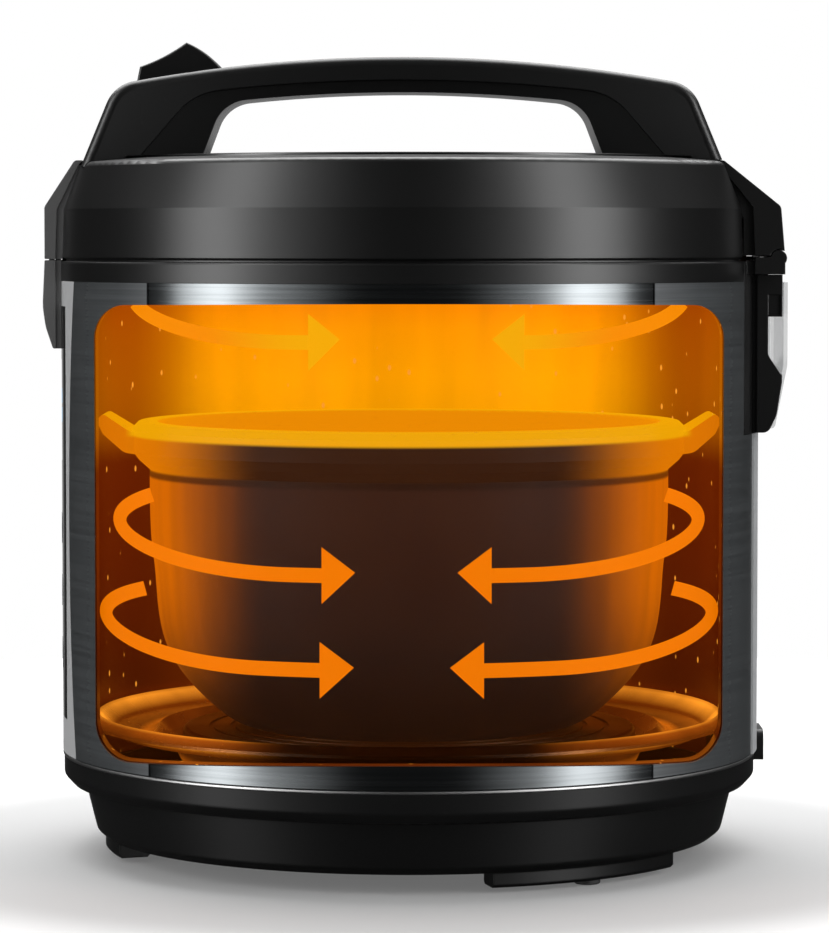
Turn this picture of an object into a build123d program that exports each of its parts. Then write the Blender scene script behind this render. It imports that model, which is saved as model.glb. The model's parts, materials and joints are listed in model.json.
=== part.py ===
from build123d import *
import os
from math import cos, radians, sin

# Round countertop multicooker: a steel-walled body with a glazed window onto its chamber, a ceramic
# pot on a heating plate, a hinged lid with a carrying handle, a latch and a condensate collector.
# Millimetres. +Z is up, the latch and the control panel are at -X, the hinge is at +X and the window
# faces -Y. The origin is on the body's axis, on the plane that the foot pads stand on.

# Clearances
clearance = 0.3
fit = 0.15
skin_gap = 0.03
far = 400.0

# Heights, from the ground up
foot_height = 6.0
pad_proud = 2.0
base_low_height = 22.0
base_ring_height = 13.5
wall_height = 195.0
top_ring_height = 8.3
lid_seam = 0.8
lid_side_height = 20.4
lid_slope_height = 19.2
lid_crown = 2.5
handle_rise = 41.1
base_underside = foot_height + pad_proud
base_step = base_underside + base_low_height
base_top = base_step + base_ring_height
wall_top = base_top + wall_height
body_top = wall_top + top_ring_height
lid_bottom = body_top + lid_seam
lid_crease = lid_bottom + lid_side_height
lid_edge = lid_crease + lid_slope_height
lid_top = lid_edge + lid_crown
grip_top = lid_top + handle_rise

# Body
body_radius = 145.0
wall_thickness = 1.0
ring_inset = 0.5
base_high_inset = 9.2
base_low_inset = 14.0
base_wall = 2.6
base_lip = 24.0
cover_lap = 6.0
ring_radius = body_radius - ring_inset
base_high_radius = body_radius - base_high_inset
base_low_radius = body_radius - base_low_inset
base_bore = base_low_radius - base_lip
cover_radius = base_bore + cover_lap
cover_thickness = 1.5
cover_screws = cover_radius - 3.0
spigot_gap = 0.2
spigot_height = 4.0

# Feet
foot_width = 13.4
foot_inset = 3.6
foot_arc = 42.0
foot_angles = (180.0, -54.0, 54.0)
pad_radius = 5.25
pad_inset = 10.5
pad_pocket = 2.0
pad_circle = base_low_radius - pad_inset

# Power board
board_half_length = 57.0
board_half_width = 47.0
board_corner = 5.0
board_rise = 6.0
board_thickness = 1.6
board_z = base_underside + board_rise

# Window in the near wall
window_inset = 18.6
window_top_margin = 7.6
window_low_margin = 9.2
window_top_drop = 1.5
window_low_drop = 6.7
window_corner = 14.0
pane_lap = 3.0
pane_thickness = 2.0
seal_thickness = 0.8
frame_lap = 5.0
window_half = body_radius - window_inset
window_top = wall_top - window_top_margin
window_low = base_top + window_low_margin

# Chamber
liner_inset = 10.0
liner_thickness = 1.0
liner_depth = 10.0
flange_width = 5.0
flange_drop = 3.3
flange_thickness = 1.0
dish_drop = 3.5
dish_thickness = 1.2
dish_rim_rise = 18.5
dish_rim_inset = 5.0
plate_inset = 40.0
plate_gap = 1.0
plate_rise = 12.0
plate_thickness = 8.0
plate_bore = 16.0
plate_groove = 2.0
plate_groove_pitch = 9.0
element_inset = 25.0
element_half = 4.0
element_height = 3.2
guide_wall = 3.0
guide_drop = 8.0
stem_radius = 4.0
spring_radius = 8.0
spring_wire = 3.0
cap_height = 7.0
band_thickness = 1.6
band_rise = 43.0
band_height = 40.0
liner_inner = body_radius - liner_inset
liner_outer = liner_inner + liner_thickness
liner_foot = base_top - liner_depth
flange_outer = liner_outer + flange_width
flange_seat = body_top - flange_drop
dish_floor = base_top - dish_drop
plate_top = dish_floor + plate_rise
plate_radius = liner_inner - plate_inset
element_radius = plate_radius - element_inset
guide_radius = plate_bore - 0.5
guide_bore = guide_radius - guide_wall
guide_foot = dish_floor - guide_drop
band_low = plate_top + band_rise

# Pot
pot_height = 128.0
ear_gap = 5.0
pot_collar_depth = 16.0
pot_collar_step = 7.5
pot_wall = 5.5
pot_foot_inset = 35.0
ear_length = 14.0
ear_root_half = 28.0
ear_tip_half = 17.0
ear_rise = 7.0
ear_thickness = 7.5
pot_rim = plate_top + pot_height
ear_reach = liner_inner - ear_gap
pot_collar = ear_reach - ear_length
pot_belly = pot_collar - pot_collar_step
pot_foot = plate_radius - pot_foot_inset

# Front control panel
panel_half = 50.0
panel_waist = 40.5
panel_thickness = 2.2
panel_lip = 1.4
fascia_half = 34.0
fascia_low_margin = 14.5
fascia_high_margin = 10.5
fascia_thickness = 2.0
button_radius = 6.5
button_collar = 2.0
button_proud = 0.1
button_travel = 0.8
button_side = 14.0
button_pitch = 26.0
display_half = 22.0
display_height = 42.0
display_margin = 22.0
board_inset = 6.0
button_names = ("button_minus", "button_plus", "button_time", "button_menu", "button_stop", "button_start")
fascia_low = base_top + fascia_low_margin
fascia_high = wall_top - fascia_high_margin
display_high = fascia_high - display_margin
display_low = display_high - display_height
control_board_x = -(body_radius - board_inset)
control_board_thickness = 1.4

# Rear panel, hinge and collector
rear_half = 34.0
rear_height = 132.5
rear_proud = 0.8
frame_half = 49.8
hinge_side_gap = 1.8
frame_depth = 3.5
frame_reach = 8.0
frame_drop = 5.4
hinge_end_wall = 1.7
hinge_end_start = 4.3
hinge_reach = 5.5
hinge_rise = 1.2
barrel_radius = 3.2
barrel_gap = 0.4
pin_radius = 1.5
inner_knuckle = (15.0, 30.0)
knuckle_start = 31.0
spring_half = 13.0
holder_half = 36.0
holder_reach = 8.0
cup_half = 32.0
cup_wall = 1.5
cup_height = 60.0
cup_depth = 8.5
cup_back_gap = 2.0
rear_top = base_top + rear_height
hinge_end = frame_half - hinge_side_gap
outer_knuckle = (knuckle_start, hinge_end - 2.0)
hinge_x = body_radius + hinge_reach
hinge_z = body_top + hinge_rise
frame_low = body_top - frame_drop
frame_face = body_radius + frame_reach
cup_high = wall_top - 0.5
cup_low = cup_high - cup_height
cup_back = body_radius + cup_back_gap
cup_face = cup_back + cup_depth

# Power inlet
inlet_half = 14.0
inlet_height = 12.5
inlet_rise = 8.7
inlet_proud = 3.0
inlet_length = 22.0
inlet_wall = 2.2
inlet_depth = 18.0
inlet_corner = 4.0
socket_pin_length = 9.0
socket_pin_pitch = 7.0
inlet_low = base_step + inlet_rise
inlet_high = inlet_low + inlet_height
inlet_face = body_radius + inlet_proud

# Lid
lid_inset = 0.6
lid_draft = 0.7
lid_slope_width = 7.1
lid_rim_width = 16.1
lid_seat_width = 8.5
shell_thickness = 2.6
skirt_thickness = 0.7
skirt_depth = 1.0
top_plate_thickness = 1.8
screw_inset = 18.4
inner_frame_rise = 6.4
inner_frame_thickness = 2.5
inner_lid_drop = 3.0
inner_lid_overlap = 1.0
inner_lid_rim_drop = 2.8
inner_lid_thickness = 1.2
gasket_height = 5.2
knob_radius = 14.0
spindle_radius = 6.0
vent_place = (58.0, 62.0)
vent_radius = 13.8
vent_lip = 2.2
vent_depth = 25.7
vent_wall = 1.6
heater_inner = 78.0
heater_outer = 100.0
lid_radius = body_radius - lid_inset
lid_crease_radius = lid_radius - lid_draft
lid_edge_radius = lid_crease_radius - lid_slope_width
plate_hole = lid_edge_radius - lid_rim_width
lid_screws_circle = lid_radius - screw_inset
inner_frame_low = lid_bottom + inner_frame_rise
inner_frame_top = inner_frame_low + inner_frame_thickness
inner_lid_top = inner_frame_low - inner_lid_drop
inner_lid_rim = inner_lid_top - inner_lid_rim_drop
inner_lid_radius = liner_inner + inner_lid_overlap

# Covers over the latch and the hinge
strap_half = 20.0
strap_reach = 6.2
strap_wall = 1.3
strap_gap = 3.0
strap_seam = 0.5
strap_tail = 36.5
strap_bulge = 0.9
neck_start = 17.3
neck_half = 19.0
tongue_rise = 2.2
hinge_cover_start = 22.4
hinge_cover_wall = 2.0
strap_face = lid_radius + strap_reach
strap_top = body_top + 0.2
hinge_cover_front = lid_radius - hinge_cover_start
hinge_cover_half = hinge_end
hinge_cover_gap = frame_half - 0.2

# Latch
latch_inset = 1.8
latch_rise = 14.4
latch_half = 10.0
latch_pin_radius = 1.2
latch_bearing_half = 4.0
hook_thickness = 3.0
hook_arm_x = 11.6
hook_arm_z = 17.5
hook_pin_radius = 1.4
striker_inset = 3.8
striker_drop = 4.2
striker_depth = 3.4
striker_height = 1.8
striker_overhang = 5.0
hook_gap = 0.4
latch_x = -(lid_radius - latch_inset)
latch_z = lid_bottom + latch_rise
striker_x = -(body_radius - striker_inset)
striker_low = body_top - striker_drop

# Handle
handle_shift = -2.5
handle_inset = 4.6
handle_lean = 13.6
shoulder_drop = 12.0
shoulder_radius = 15.0
handle_edge = 3.5
foot_half = 38.0
grip_half = 20.0
gap_inset = 54.6
gap_lean = 8.0
gap_clear = 1.3
gap_crown_drop = 14.6
gap_corner_drop = 4.3
gap_radius = 15.0
liner_width = 29.5
liner_lean = 25.5
liner_crown_drop = 9.5
liner_corner_drop = 5.8
liner_radius = 26.0
liner_step = 1.5
handle_foot = lid_edge_radius - handle_inset
handle_shoulder = handle_foot - handle_lean
shoulder_height = grip_top - shoulder_drop
handle_low = lid_edge - 2.0
gap_half = lid_edge_radius - gap_inset
gap_low = lid_top + gap_clear
gap_high = grip_top - gap_crown_drop
liner_foot_half = gap_half + liner_width
liner_crown = grip_top - liner_crown_drop

# Release slider and rod
slider_travel = 4.5
slider_slope = 9.7
slider_half = 11.0
slider_inset = 7.9
slider_length = 35.0
slider_seat_rise = 1.0
slider_nose_rise = 7.3
slider_peak_x = 20.8
slider_peak_rise = 17.3
slider_tail_rise = 7.6
rod_half = 1.5
rod_width = 5.2
rod_gap = 0.5
rod_head_x = 9.7
rod_head_drop = 2.3
rod_leg_x = 11.5
rod_leg_rise = 8.5
slider_x = handle_shift - handle_shoulder + slider_inset


# Helpers

def block(x0, x1, y0, y1, z0, z1):
    """Box between two corners."""
    return Pos((x0 + x1) / 2, (y0 + y1) / 2, (z0 + z1) / 2) * Box(x1 - x0, y1 - y0, z1 - z0)


def disc(radius, z0, z1, x=0.0, y=0.0):
    """Upright cylinder from z0 to z1."""
    return Pos(x, y, (z0 + z1) / 2) * Cylinder(radius, z1 - z0)


def tube(inner, outer, z0, z1, x=0.0, y=0.0):
    """Upright tube."""
    return disc(outer, z0, z1, x, y) - disc(inner, z0 - 1, z1 + 1, x, y)


def across(radius, x, z, y0, y1):
    """Cylinder whose axis runs along Y."""
    return Pos(x, (y0 + y1) / 2, z) * Rot(90, 0, 0) * Cylinder(radius, y1 - y0)


def along(radius, y, z, x0, x1):
    """Cylinder whose axis runs along X."""
    return Pos((x0 + x1) / 2, y, z) * Rot(0, 90, 0) * Cylinder(radius, x1 - x0)


def outline(points, radii=0.0):
    """Closed outline with rounded corners, one radius or one for each corner."""
    return make_face(FilletPolyline(*points, radius=radii, close=True))


def turned(points, radii=0.0):
    """Solid of revolution about Z from an outline of (radius, height)."""
    return revolve(Plane.XZ * outline(points, radii), Axis.Z)


def slab(face, y0, y1):
    """A face drawn in (X, Z), extruded from y0 to y1."""
    return Pos(0, y1, 0) * extrude(Plane.XZ * face, y1 - y0)


def bar(face, x0, x1):
    """A face drawn in (Y, Z), extruded from x0 to x1."""
    return Pos(x0, 0, 0) * extrude(Plane.YZ * face, x1 - x0)


def sheet(points, thickness):
    """Pressed sheet of revolution: its upper line and its thickness."""
    under = [(r, z - thickness) for r, z in reversed(points)]
    return turned(list(points) + under)


def sector(start, end, reach, z0, z1):
    """Wedge about the Z axis from one angle to another, under half a turn."""
    mid = (start + end) / 2
    wide = reach / cos(radians((end - start) / 4))
    corners = [(0.0, 0.0)]
    for angle, length in ((start, reach), ((start + mid) / 2, wide), ((mid + end) / 2, wide), (end, reach)):
        corners.append((length * cos(radians(angle)), length * sin(radians(angle))))
    return Pos(0, 0, z0) * extrude(make_face(Polyline(*corners, close=True)), z1 - z0)


def turns(count, start):
    """Evenly spaced angles about Z."""
    return [start + n * 360.0 / count for n in range(count)]


def sides(inner, outer):
    """The Y ranges of a pair of pieces, one on each side of the middle."""
    return [(-outer, -inner), (inner, outer)]


# Base

def base_profile():
    """Section of the base: its outer line from underside to top, then its inner line down again."""
    floor = base_underside + cover_thickness + 0.2
    web = floor + 1.8
    ledge = base_high_radius - 2.8
    return [(base_low_radius - 3.3, base_underside), (base_low_radius, base_underside + 2.6),
            (base_high_radius, base_step), (ring_radius - 3.5, base_step),
            (ring_radius, base_step + 3.8), (ring_radius, base_top),
            (liner_outer + 2.0, base_top), (liner_outer + 2.0, liner_foot), (ledge, liner_foot),
            (base_low_radius - base_wall, web), (base_bore, web), (base_bore, floor),
            (cover_radius + clearance, floor), (cover_radius + clearance, base_underside)]


def inlet_prism(grow, x0, x1):
    """The inlet's housing as a bar along X, made larger by grow."""
    half = inlet_half + grow
    low = inlet_low - grow
    high = inlet_high + grow
    face = make_face(Polyline((-half, low), (half, low), (half, high), (-half, high), close=True))
    return bar(fillet(face.vertices().sort_by(Axis.Y)[2:], inlet_corner), x0, x1)


def inlet_room():
    """Room for the inlet's housing in what it passes through."""
    return inlet_prism(clearance, inlet_face - inlet_length - 2 * liner_depth, far)


def base_housing():
    """Moulded base: rim, upper ring, support ledges and three feet with pockets for their pads."""
    radii = [0, 2.5, 1.5, 0.6, 2.5, 0] + [0] * 8
    body = turned(base_profile(), radii)
    inside = body_radius - wall_thickness - spigot_gap
    spigot = tube(liner_outer + 4.8, inside, base_top - 1, base_top + spigot_height)
    keep_out = window_half + frame_lap
    body += spigot - block(-keep_out, keep_out, -far, 0, base_top - 2, base_top + spigot_height + 2) \
        - block(-far, far, -panel_half - 2, panel_half + 2, base_top - 2, base_top + spigot_height + 2)
    sole = base_underside - foot_height
    outer = base_low_radius - foot_inset
    for angle in foot_angles:
        foot = tube(outer - foot_width, outer, sole, base_underside + 0.5)
        foot = Rot(0, 0, angle) * (foot & sector(-foot_arc / 2, foot_arc / 2, far, 0, base_step))
        body += chamfer(foot.edges().filter_by(GeomType.CIRCLE).group_by(Axis.Z)[0], 1.2)
    for angle in foot_angles:
        body -= Rot(0, 0, angle) * disc(pad_radius + skin_gap, 0, sole + pad_pocket, pad_circle)
    for angle in turns(4, 45.0):
        body -= Rot(0, 0, angle) * disc(1.5, 0, base_step, cover_screws)
    return body - inlet_room()


def foot_pads():
    """Rubber pads pressed into the feet: the cooker stands on them."""
    pads = []
    for angle in foot_angles:
        pad = disc(pad_radius, 0, base_underside - foot_height + pad_pocket, pad_circle)
        pad = fillet(pad.edges().group_by(Axis.Z)[0], 0.8)
        pads.append(Rot(0, 0, angle) * pad)
    return Part(children=[p.solid() for p in pads])


def bottom_cover():
    """Vented bottom plate with standoffs for the power board."""
    top = base_underside + cover_thickness
    plate = disc(cover_radius, base_underside, top)
    pitch = 8.0
    slot = 3.0
    for row in range(-4, 5):
        half = 44.0 if abs(row) < 4 else 30.0
        plate -= block(-half, half, row * pitch - slot / 2, row * pitch + slot / 2, 0, top + 1)
    plate += block(-slot / 2, slot / 2, -5 * pitch, 5 * pitch, base_underside, top)
    for x in (-board_half_length + board_corner, board_half_length - board_corner):
        for y in (-board_half_width + board_corner, board_half_width - board_corner):
            plate += disc(3.0, base_underside, board_z, x, y)
    for angle in turns(4, 45.0):
        plate -= Rot(0, 0, angle) * disc(1.5, 0, top + 1, cover_screws)
    return plate


def bottom_screws():
    """Four screws that hold the bottom plate."""
    screws = []
    for angle in turns(4, 45.0):
        screw = disc(3.0, base_underside - 1.6, base_underside, cover_screws) \
            + disc(1.4, base_underside - 0.1, base_underside + 3.4, cover_screws)
        screw -= block(cover_screws - 2, cover_screws + 2, -0.4, 0.4, 0, base_underside - 0.9)
        screws.append((Rot(0, 0, angle) * screw).solid())
    return Part(children=screws)


def power_board():
    """Power board in the base, with its relay, transformer and capacitor."""
    board = block(-board_half_length, board_half_length, -board_half_width, board_half_width,
                  board_z, board_z + board_thickness)
    board += block(-40, -12, -30, -6, board_z + 1, board_z + 18)
    board += block(14, 34, -28, -14, board_z + 1, board_z + 15)
    board += disc(7.0, board_z + 1, board_z + 19, 30, 18)
    board += block(-38, -30, 8, 36, board_z + 1, board_z + 10)
    return board


# Side wall and window

def window_face(grow=0.0):
    """The window's outline in (X, Z), made larger by grow: its top and its foot are slight arcs."""
    low = window_low - window_low_drop
    high = window_top - window_top_drop
    left = Line((-window_half, low), (-window_half, high))
    top = ThreePointArc((-window_half, high), (0, window_top), (window_half, high))
    right = Line((window_half, high), (window_half, low))
    foot = ThreePointArc((window_half, low), (0, window_low), (-window_half, low))
    face = fillet(make_face([left, top, right, foot]).vertices(), window_corner)
    return offset(face, grow) if grow else face


def window_bar(grow=0.0):
    """The window's outline as a bar through the near wall."""
    return slab(window_face(grow), -far, -20)


def panel_face(grow=0.0):
    """The control panel's outline in (Y, Z), made wider by grow: its sides draw in to a waist."""
    half = panel_half + grow
    waist = panel_waist + grow
    middle = (base_top + wall_top) / 2
    left = ThreePointArc((-half, base_top), (-waist, middle), (-half, wall_top))
    top = Line((-half, wall_top), (half, wall_top))
    right = ThreePointArc((half, wall_top), (waist, middle), (half, base_top))
    return make_face([left, top, right, Line((half, base_top), (-half, base_top))])


def wall_half(sign):
    """One side of the steel wall, from the front panel to the rear panel."""
    wall = tube(body_radius - wall_thickness, body_radius, base_top, wall_top)
    wall &= block(-far, far, min(0, sign * far), max(0, sign * far), 0, far)
    wall -= bar(panel_face(fit), -far, 0)
    wall -= block(0, far, -rear_half - fit, rear_half + fit, 0, far)
    return wall - block(0, far, -frame_half, frame_half, rear_top, far)


def side_wall_window():
    """Near side of the steel wall, with the window."""
    return wall_half(-1) - window_bar()


def side_wall_far():
    """Far side of the steel wall."""
    return wall_half(1)


def window_seal():
    """Rubber seal between the wall and the pane."""
    outer = body_radius - wall_thickness - skin_gap
    return (tube(outer - seal_thickness, outer, 0, wall_top) & window_bar(pane_lap)) - window_bar()


def window_pane():
    """Curved pane of heat-proof glass."""
    outer = body_radius - wall_thickness - seal_thickness - 2 * skin_gap
    return tube(outer - pane_thickness, outer, 0, wall_top) & window_bar(pane_lap)


def window_frame():
    """Frame that clamps the pane from inside and closes the gap to the chamber."""
    outer = body_radius - wall_thickness - seal_thickness - pane_thickness - 3 * skin_gap
    ring = tube(liner_outer + skin_gap, outer, 0, wall_top)
    band = window_bar(frame_lap) & block(-far, far, -far, far, base_top + spigot_gap, window_top + pane_lap)
    return (ring & band) - window_bar()


# Chamber

def top_cut():
    """Room at the top of the body for the latch, over the wall's top edge."""
    half = latch_half + 2.0
    return block(-far, 0, -half, half, wall_top + 0.5, far)


def chamber_liner():
    """Steel liner of the chamber, with a flange at its mouth and an opening behind the window."""
    top = flange_seat + flange_thickness
    liner = tube(liner_inner, liner_outer, liner_foot, top)
    liner += tube(liner_inner, flange_outer, flange_seat, top)
    liner -= window_bar()
    liner -= inlet_room()
    half = latch_half + striker_overhang + 1.0
    return liner - block(-far, striker_x + striker_depth + 1.2, -half, half, flange_seat - 1, far)


def reflector_dish():
    """Pressed reflector that is the chamber's floor: a rim ring, an inner ring and a flat floor."""
    rim = liner_inner - dish_rim_inset
    flat = plate_radius + plate_gap
    line = [(2 * plate_bore - 2, dish_floor), (flat, dish_floor), (flat + 4, dish_floor + 8),
            (flat + 8.5, dish_floor + 13), (flat + 12.5, dish_floor + 9.5), (rim - 7.0, dish_floor + 11.5),
            (rim, dish_floor + dish_rim_rise), (liner_inner, dish_floor + dish_rim_rise - 3)]
    return sheet(line, dish_thickness)


def heater_plate():
    """Cast heating plate with ring grooves and three feet on the dish."""
    low = plate_top - plate_thickness
    plate = tube(plate_bore, plate_radius, low, plate_top)
    plate = fillet(plate.edges().group_by(Axis.Z)[-1].sort_by(SortBy.LENGTH)[-1], 2.0)
    radius = plate_bore + 12.0
    while radius < plate_radius - plate_groove_pitch / 2:
        plate -= tube(radius, radius + plate_groove, plate_top - 0.8, plate_top + 1)
        radius += plate_groove_pitch
    for angle in turns(3, 90.0):
        plate += Rot(0, 0, angle) * disc(5.0, dish_floor, low + 1, plate_radius - 11.0)
    return plate


def heating_element():
    """Ring element under the plate, with its two terminals."""
    top = plate_top - plate_thickness
    ring = tube(element_radius - element_half, element_radius + element_half, top - element_height, top)
    ring -= sector(-8, 8, far, 0, far)
    for sign in (-1, 1):
        x = element_radius * cos(radians(11))
        y = sign * element_radius * sin(radians(11))
        ring += block(x - 2, x + 14, y - 1.5, y + 1.5, top - 2.6, top - 0.4)
    return ring


def sensor_guide():
    """Guide of the temperature sensor, seated on the dish's floor."""
    guide = tube(guide_bore, guide_radius, guide_foot, plate_top - 1.5)
    guide += tube(stem_radius + clearance, guide_radius, guide_foot, guide_foot + 2)
    guide += tube(guide_bore, 2 * plate_bore + 2, dish_floor, dish_floor + 1.5)
    return guide


def sensor_spring():
    """Spring under the sensor's cap, drawn as its closed outline."""
    return tube(spring_radius - spring_wire, spring_radius, guide_foot + 2, plate_top - cap_height)


def sensor_plunger():
    """Sprung sensor cap that touches the pot."""
    cap = disc(guide_bore - clearance, plate_top - cap_height, plate_top)
    cap = fillet(cap.edges().group_by(Axis.Z)[-1], 1.5)
    return cap + disc(stem_radius, guide_foot - 8, plate_top - cap_height + 0.5)


def side_heater_band():
    """Flat heating band round the far side of the liner."""
    band = tube(liner_outer, liner_outer + band_thickness, band_low, band_low + band_height)
    return band & (sector(20, 90, far, 0, far) + sector(90, 160, far, 0, far))


def thermal_fuse():
    """Thermal fuse clipped under the dish."""
    top = dish_floor - dish_thickness
    return across(2.2, 52.0, top - 2.2, 20, 38) + block(49, 55, 24, 34, top - 3.0, top)


# Pot

def pot_line():
    """Outer line of the pot from its foot to its collar."""
    return [(pot_foot, plate_top), (pot_belly - 24.5, plate_top + 11.0), (pot_belly - 6.3, plate_top + 36.0),
            (pot_belly - 2.2, plate_top + 65.0), (pot_belly, pot_rim - 25.0)]


def pot():
    """Ceramic pot: rounded foot, belly, collar and two upswept ears."""
    collar = pot_rim - pot_collar_depth
    low = pot_line()
    skin = [Line((0, plate_top), low[0]), Spline(low, tangents=[(1, 0), (0, 1)]),
            Line(low[-1], (pot_belly, collar - 4)), Line((pot_belly, collar - 4), (pot_collar - 3, collar)),
            Line((pot_collar - 3, collar), (pot_collar, collar + 4)),
            Line((pot_collar, collar + 4), (pot_collar, pot_rim - 3)),
            Line((pot_collar, pot_rim - 3), (pot_collar - 3, pot_rim)),
            Line((pot_collar - 3, pot_rim), (pot_belly - pot_wall + 1.5, pot_rim))]
    floor = plate_top + pot_wall + 1
    bore = pot_belly - pot_wall
    inside = [Line((bore + 1.5, pot_rim), (bore, pot_rim - 6)),
              Line((bore, pot_rim - 6), (bore, pot_rim - 25)),
              Spline([(bore, pot_rim - 25), (bore - 2.4, plate_top + 65.0),
                      (bore - 7.0, plate_top + 38.0), (pot_foot - 2.0, floor)],
                     tangents=[(0, -1), (-1, 0)]),
              Line((pot_foot - 2.0, floor), (0, floor)), Line((0, floor), (0, plate_top))]
    body = revolve(Plane.XZ * make_face(skin + inside), Axis.Z)
    rim_edges = body.edges().filter_by(lambda e: e.center().Z > pot_rim - 0.1)
    body = fillet(rim_edges, 1.2)
    for turn in turns(2, 0.0):
        body += pot_ear(turn)
    return body


def pot_ear(turn):
    """One ear of the pot: a plate that sweeps up and narrows outwards."""
    root = pot_belly - 2.0
    low = pot_rim - 14.0
    side = [(root, low), (pot_collar + 2, low + 1.5), (ear_reach - 3, low + ear_rise + 2),
            (ear_reach, low + ear_rise + ear_thickness), (ear_reach - 3, low + ear_rise + ear_thickness + 3),
            (pot_collar, low + ear_thickness + 3), (root, low + ear_thickness + 1)]
    plan = [(root - 4, -ear_root_half), (ear_reach, -ear_tip_half), (ear_reach, ear_tip_half),
            (root - 4, ear_root_half)]
    shape = slab(outline(side, [0, 6, 2, 1.5, 2, 6, 0]), -ear_root_half - 2, ear_root_half + 2)
    shape &= extrude(outline(plan, [0, 9, 9, 0]), far)
    return Rot(0, 0, turn) * (shape - disc(pot_belly - 1.0, 0, far))


# Front control panel

def panel_band(half, outer, thickness, z0, z1):
    """Piece of the front of the body: a curved plate of a half width."""
    return tube(outer - thickness, outer, z0, z1) & block(-far, 0, -half, half, 0, far)


def front_panel():
    """Control panel's frame, with the opening for its fascia and a lip behind it."""
    panel = tube(body_radius - panel_thickness, body_radius, base_top, wall_top) & bar(panel_face(), -far, 0)
    panel -= block(-far, 0, -fascia_half - fit, fascia_half + fit, fascia_low - fit, fascia_high + fit)
    lip = panel_band(fascia_half + 4, body_radius - panel_thickness, panel_lip, fascia_low - 4, fascia_high + 4)
    lip -= block(-far, 0, -fascia_half + 5, fascia_half - 5, fascia_low + 5, fascia_high - 5)
    return panel + lip


def button_places():
    """Centres (Y, Z) of the six buttons."""
    rows = [fascia_low + (n + 1) * button_pitch for n in range(3)]
    return [(side, height) for height in rows for side in (-button_side, button_side)]


def front_fascia():
    """Glossy fascia with holes for the buttons and the display, and standoffs for the board."""
    fascia = panel_band(fascia_half, body_radius, fascia_thickness, fascia_low, fascia_high)
    for y, z in button_places():
        fascia -= along(button_radius + clearance, y, z, -far, 0)
    fascia -= block(-far, 0, -display_half - fit, display_half + fit, display_low - fit, display_high + fit)
    post = fascia_half - 10.0
    start = -((body_radius - 0.5) ** 2 - post ** 2) ** 0.5
    for y in (-post, post):
        for z in (fascia_low + 10, fascia_high - 10):
            fascia += along(2.5, y, z, start, control_board_x) & disc(body_radius - 0.5, 0, far)
    return fascia


def display_window():
    """Clear window over the display."""
    return panel_band(display_half, body_radius - 0.1, fascia_thickness - 0.2, display_low, display_high)


def display_module():
    """Display on the control board."""
    half = display_half - 4.0
    return block(control_board_x - 2.2, control_board_x, -half, half, display_low + 4, display_high - 4)


def control_board():
    """Control board behind the fascia."""
    half = fascia_half - 8.0
    return block(control_board_x, control_board_x + control_board_thickness, -half, half,
                 fascia_low + 6, fascia_high - 6)


def button(y, z):
    """Push button: cap with a curved face, a collar and a stem."""
    back = -(body_radius - fascia_thickness - button_travel)
    cap = along(button_radius, y, z, -far, back) & disc(body_radius + button_proud, 0, far)
    return cap + along(button_radius - button_collar, y, z, back - 0.2, control_board_x - 1.2)


# Rear panel, frame, hinge and collector

def rear_panel():
    """Light grey rear panel, a little proud of the steel."""
    panel = tube(body_radius - 2, body_radius + rear_proud, base_top, rear_top)
    return (panel & block(0, far, -rear_half, rear_half, 0, far)) - inlet_room()


def top_profile():
    """Section of the ring at the body's mouth, with the ledge for the liner's flange."""
    spigot = body_radius - wall_thickness - clearance
    step = skirt_outer() + clearance
    seat = flange_outer + 0.8
    return [(spigot, wall_top - 3.5), (spigot, wall_top), (body_radius, wall_top),
            (body_radius, body_top - 1.0), (body_radius - 0.3, body_top - 0.3), (body_radius - 1.0, body_top),
            (step, body_top), (step, body_top - skirt_depth - 0.5), (seat, body_top - skirt_depth - 0.5),
            (seat, flange_seat), (liner_outer + 0.4, flange_seat), (liner_outer + 0.4, wall_top + 2),
            (flange_outer - 0.2, wall_top + 2), (flange_outer - 0.2, wall_top - 3.5)]


def skirt_outer():
    """Outer radius of the lid's skirt, which reaches into the ring and closes the seam."""
    return lid_radius - shell_thickness + 1.0


def top_ring():
    """Ring at the mouth of the body, open at the rear for the frame and notched for the latch."""
    ring = turned(top_profile())
    ring -= block(0, far, -frame_half - 0.2, frame_half + 0.2, 0, far)
    ring -= block(-far, 0, -panel_half, panel_half, 0, wall_top)
    return ring - top_cut() - catch_pocket()


def catch_pocket():
    """Seat of the striker bar in the ring."""
    half = latch_half + striker_overhang + 0.2
    return block(striker_x - 1.2, striker_x + striker_depth + fit, -half, half,
                 striker_low - skin_gap, striker_low + striker_height + fit)


def catch_striker():
    """Steel bar that the hook catches."""
    half = latch_half + striker_overhang
    return block(striker_x, striker_x + striker_depth, -half, half, striker_low, striker_low + striker_height)


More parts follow.
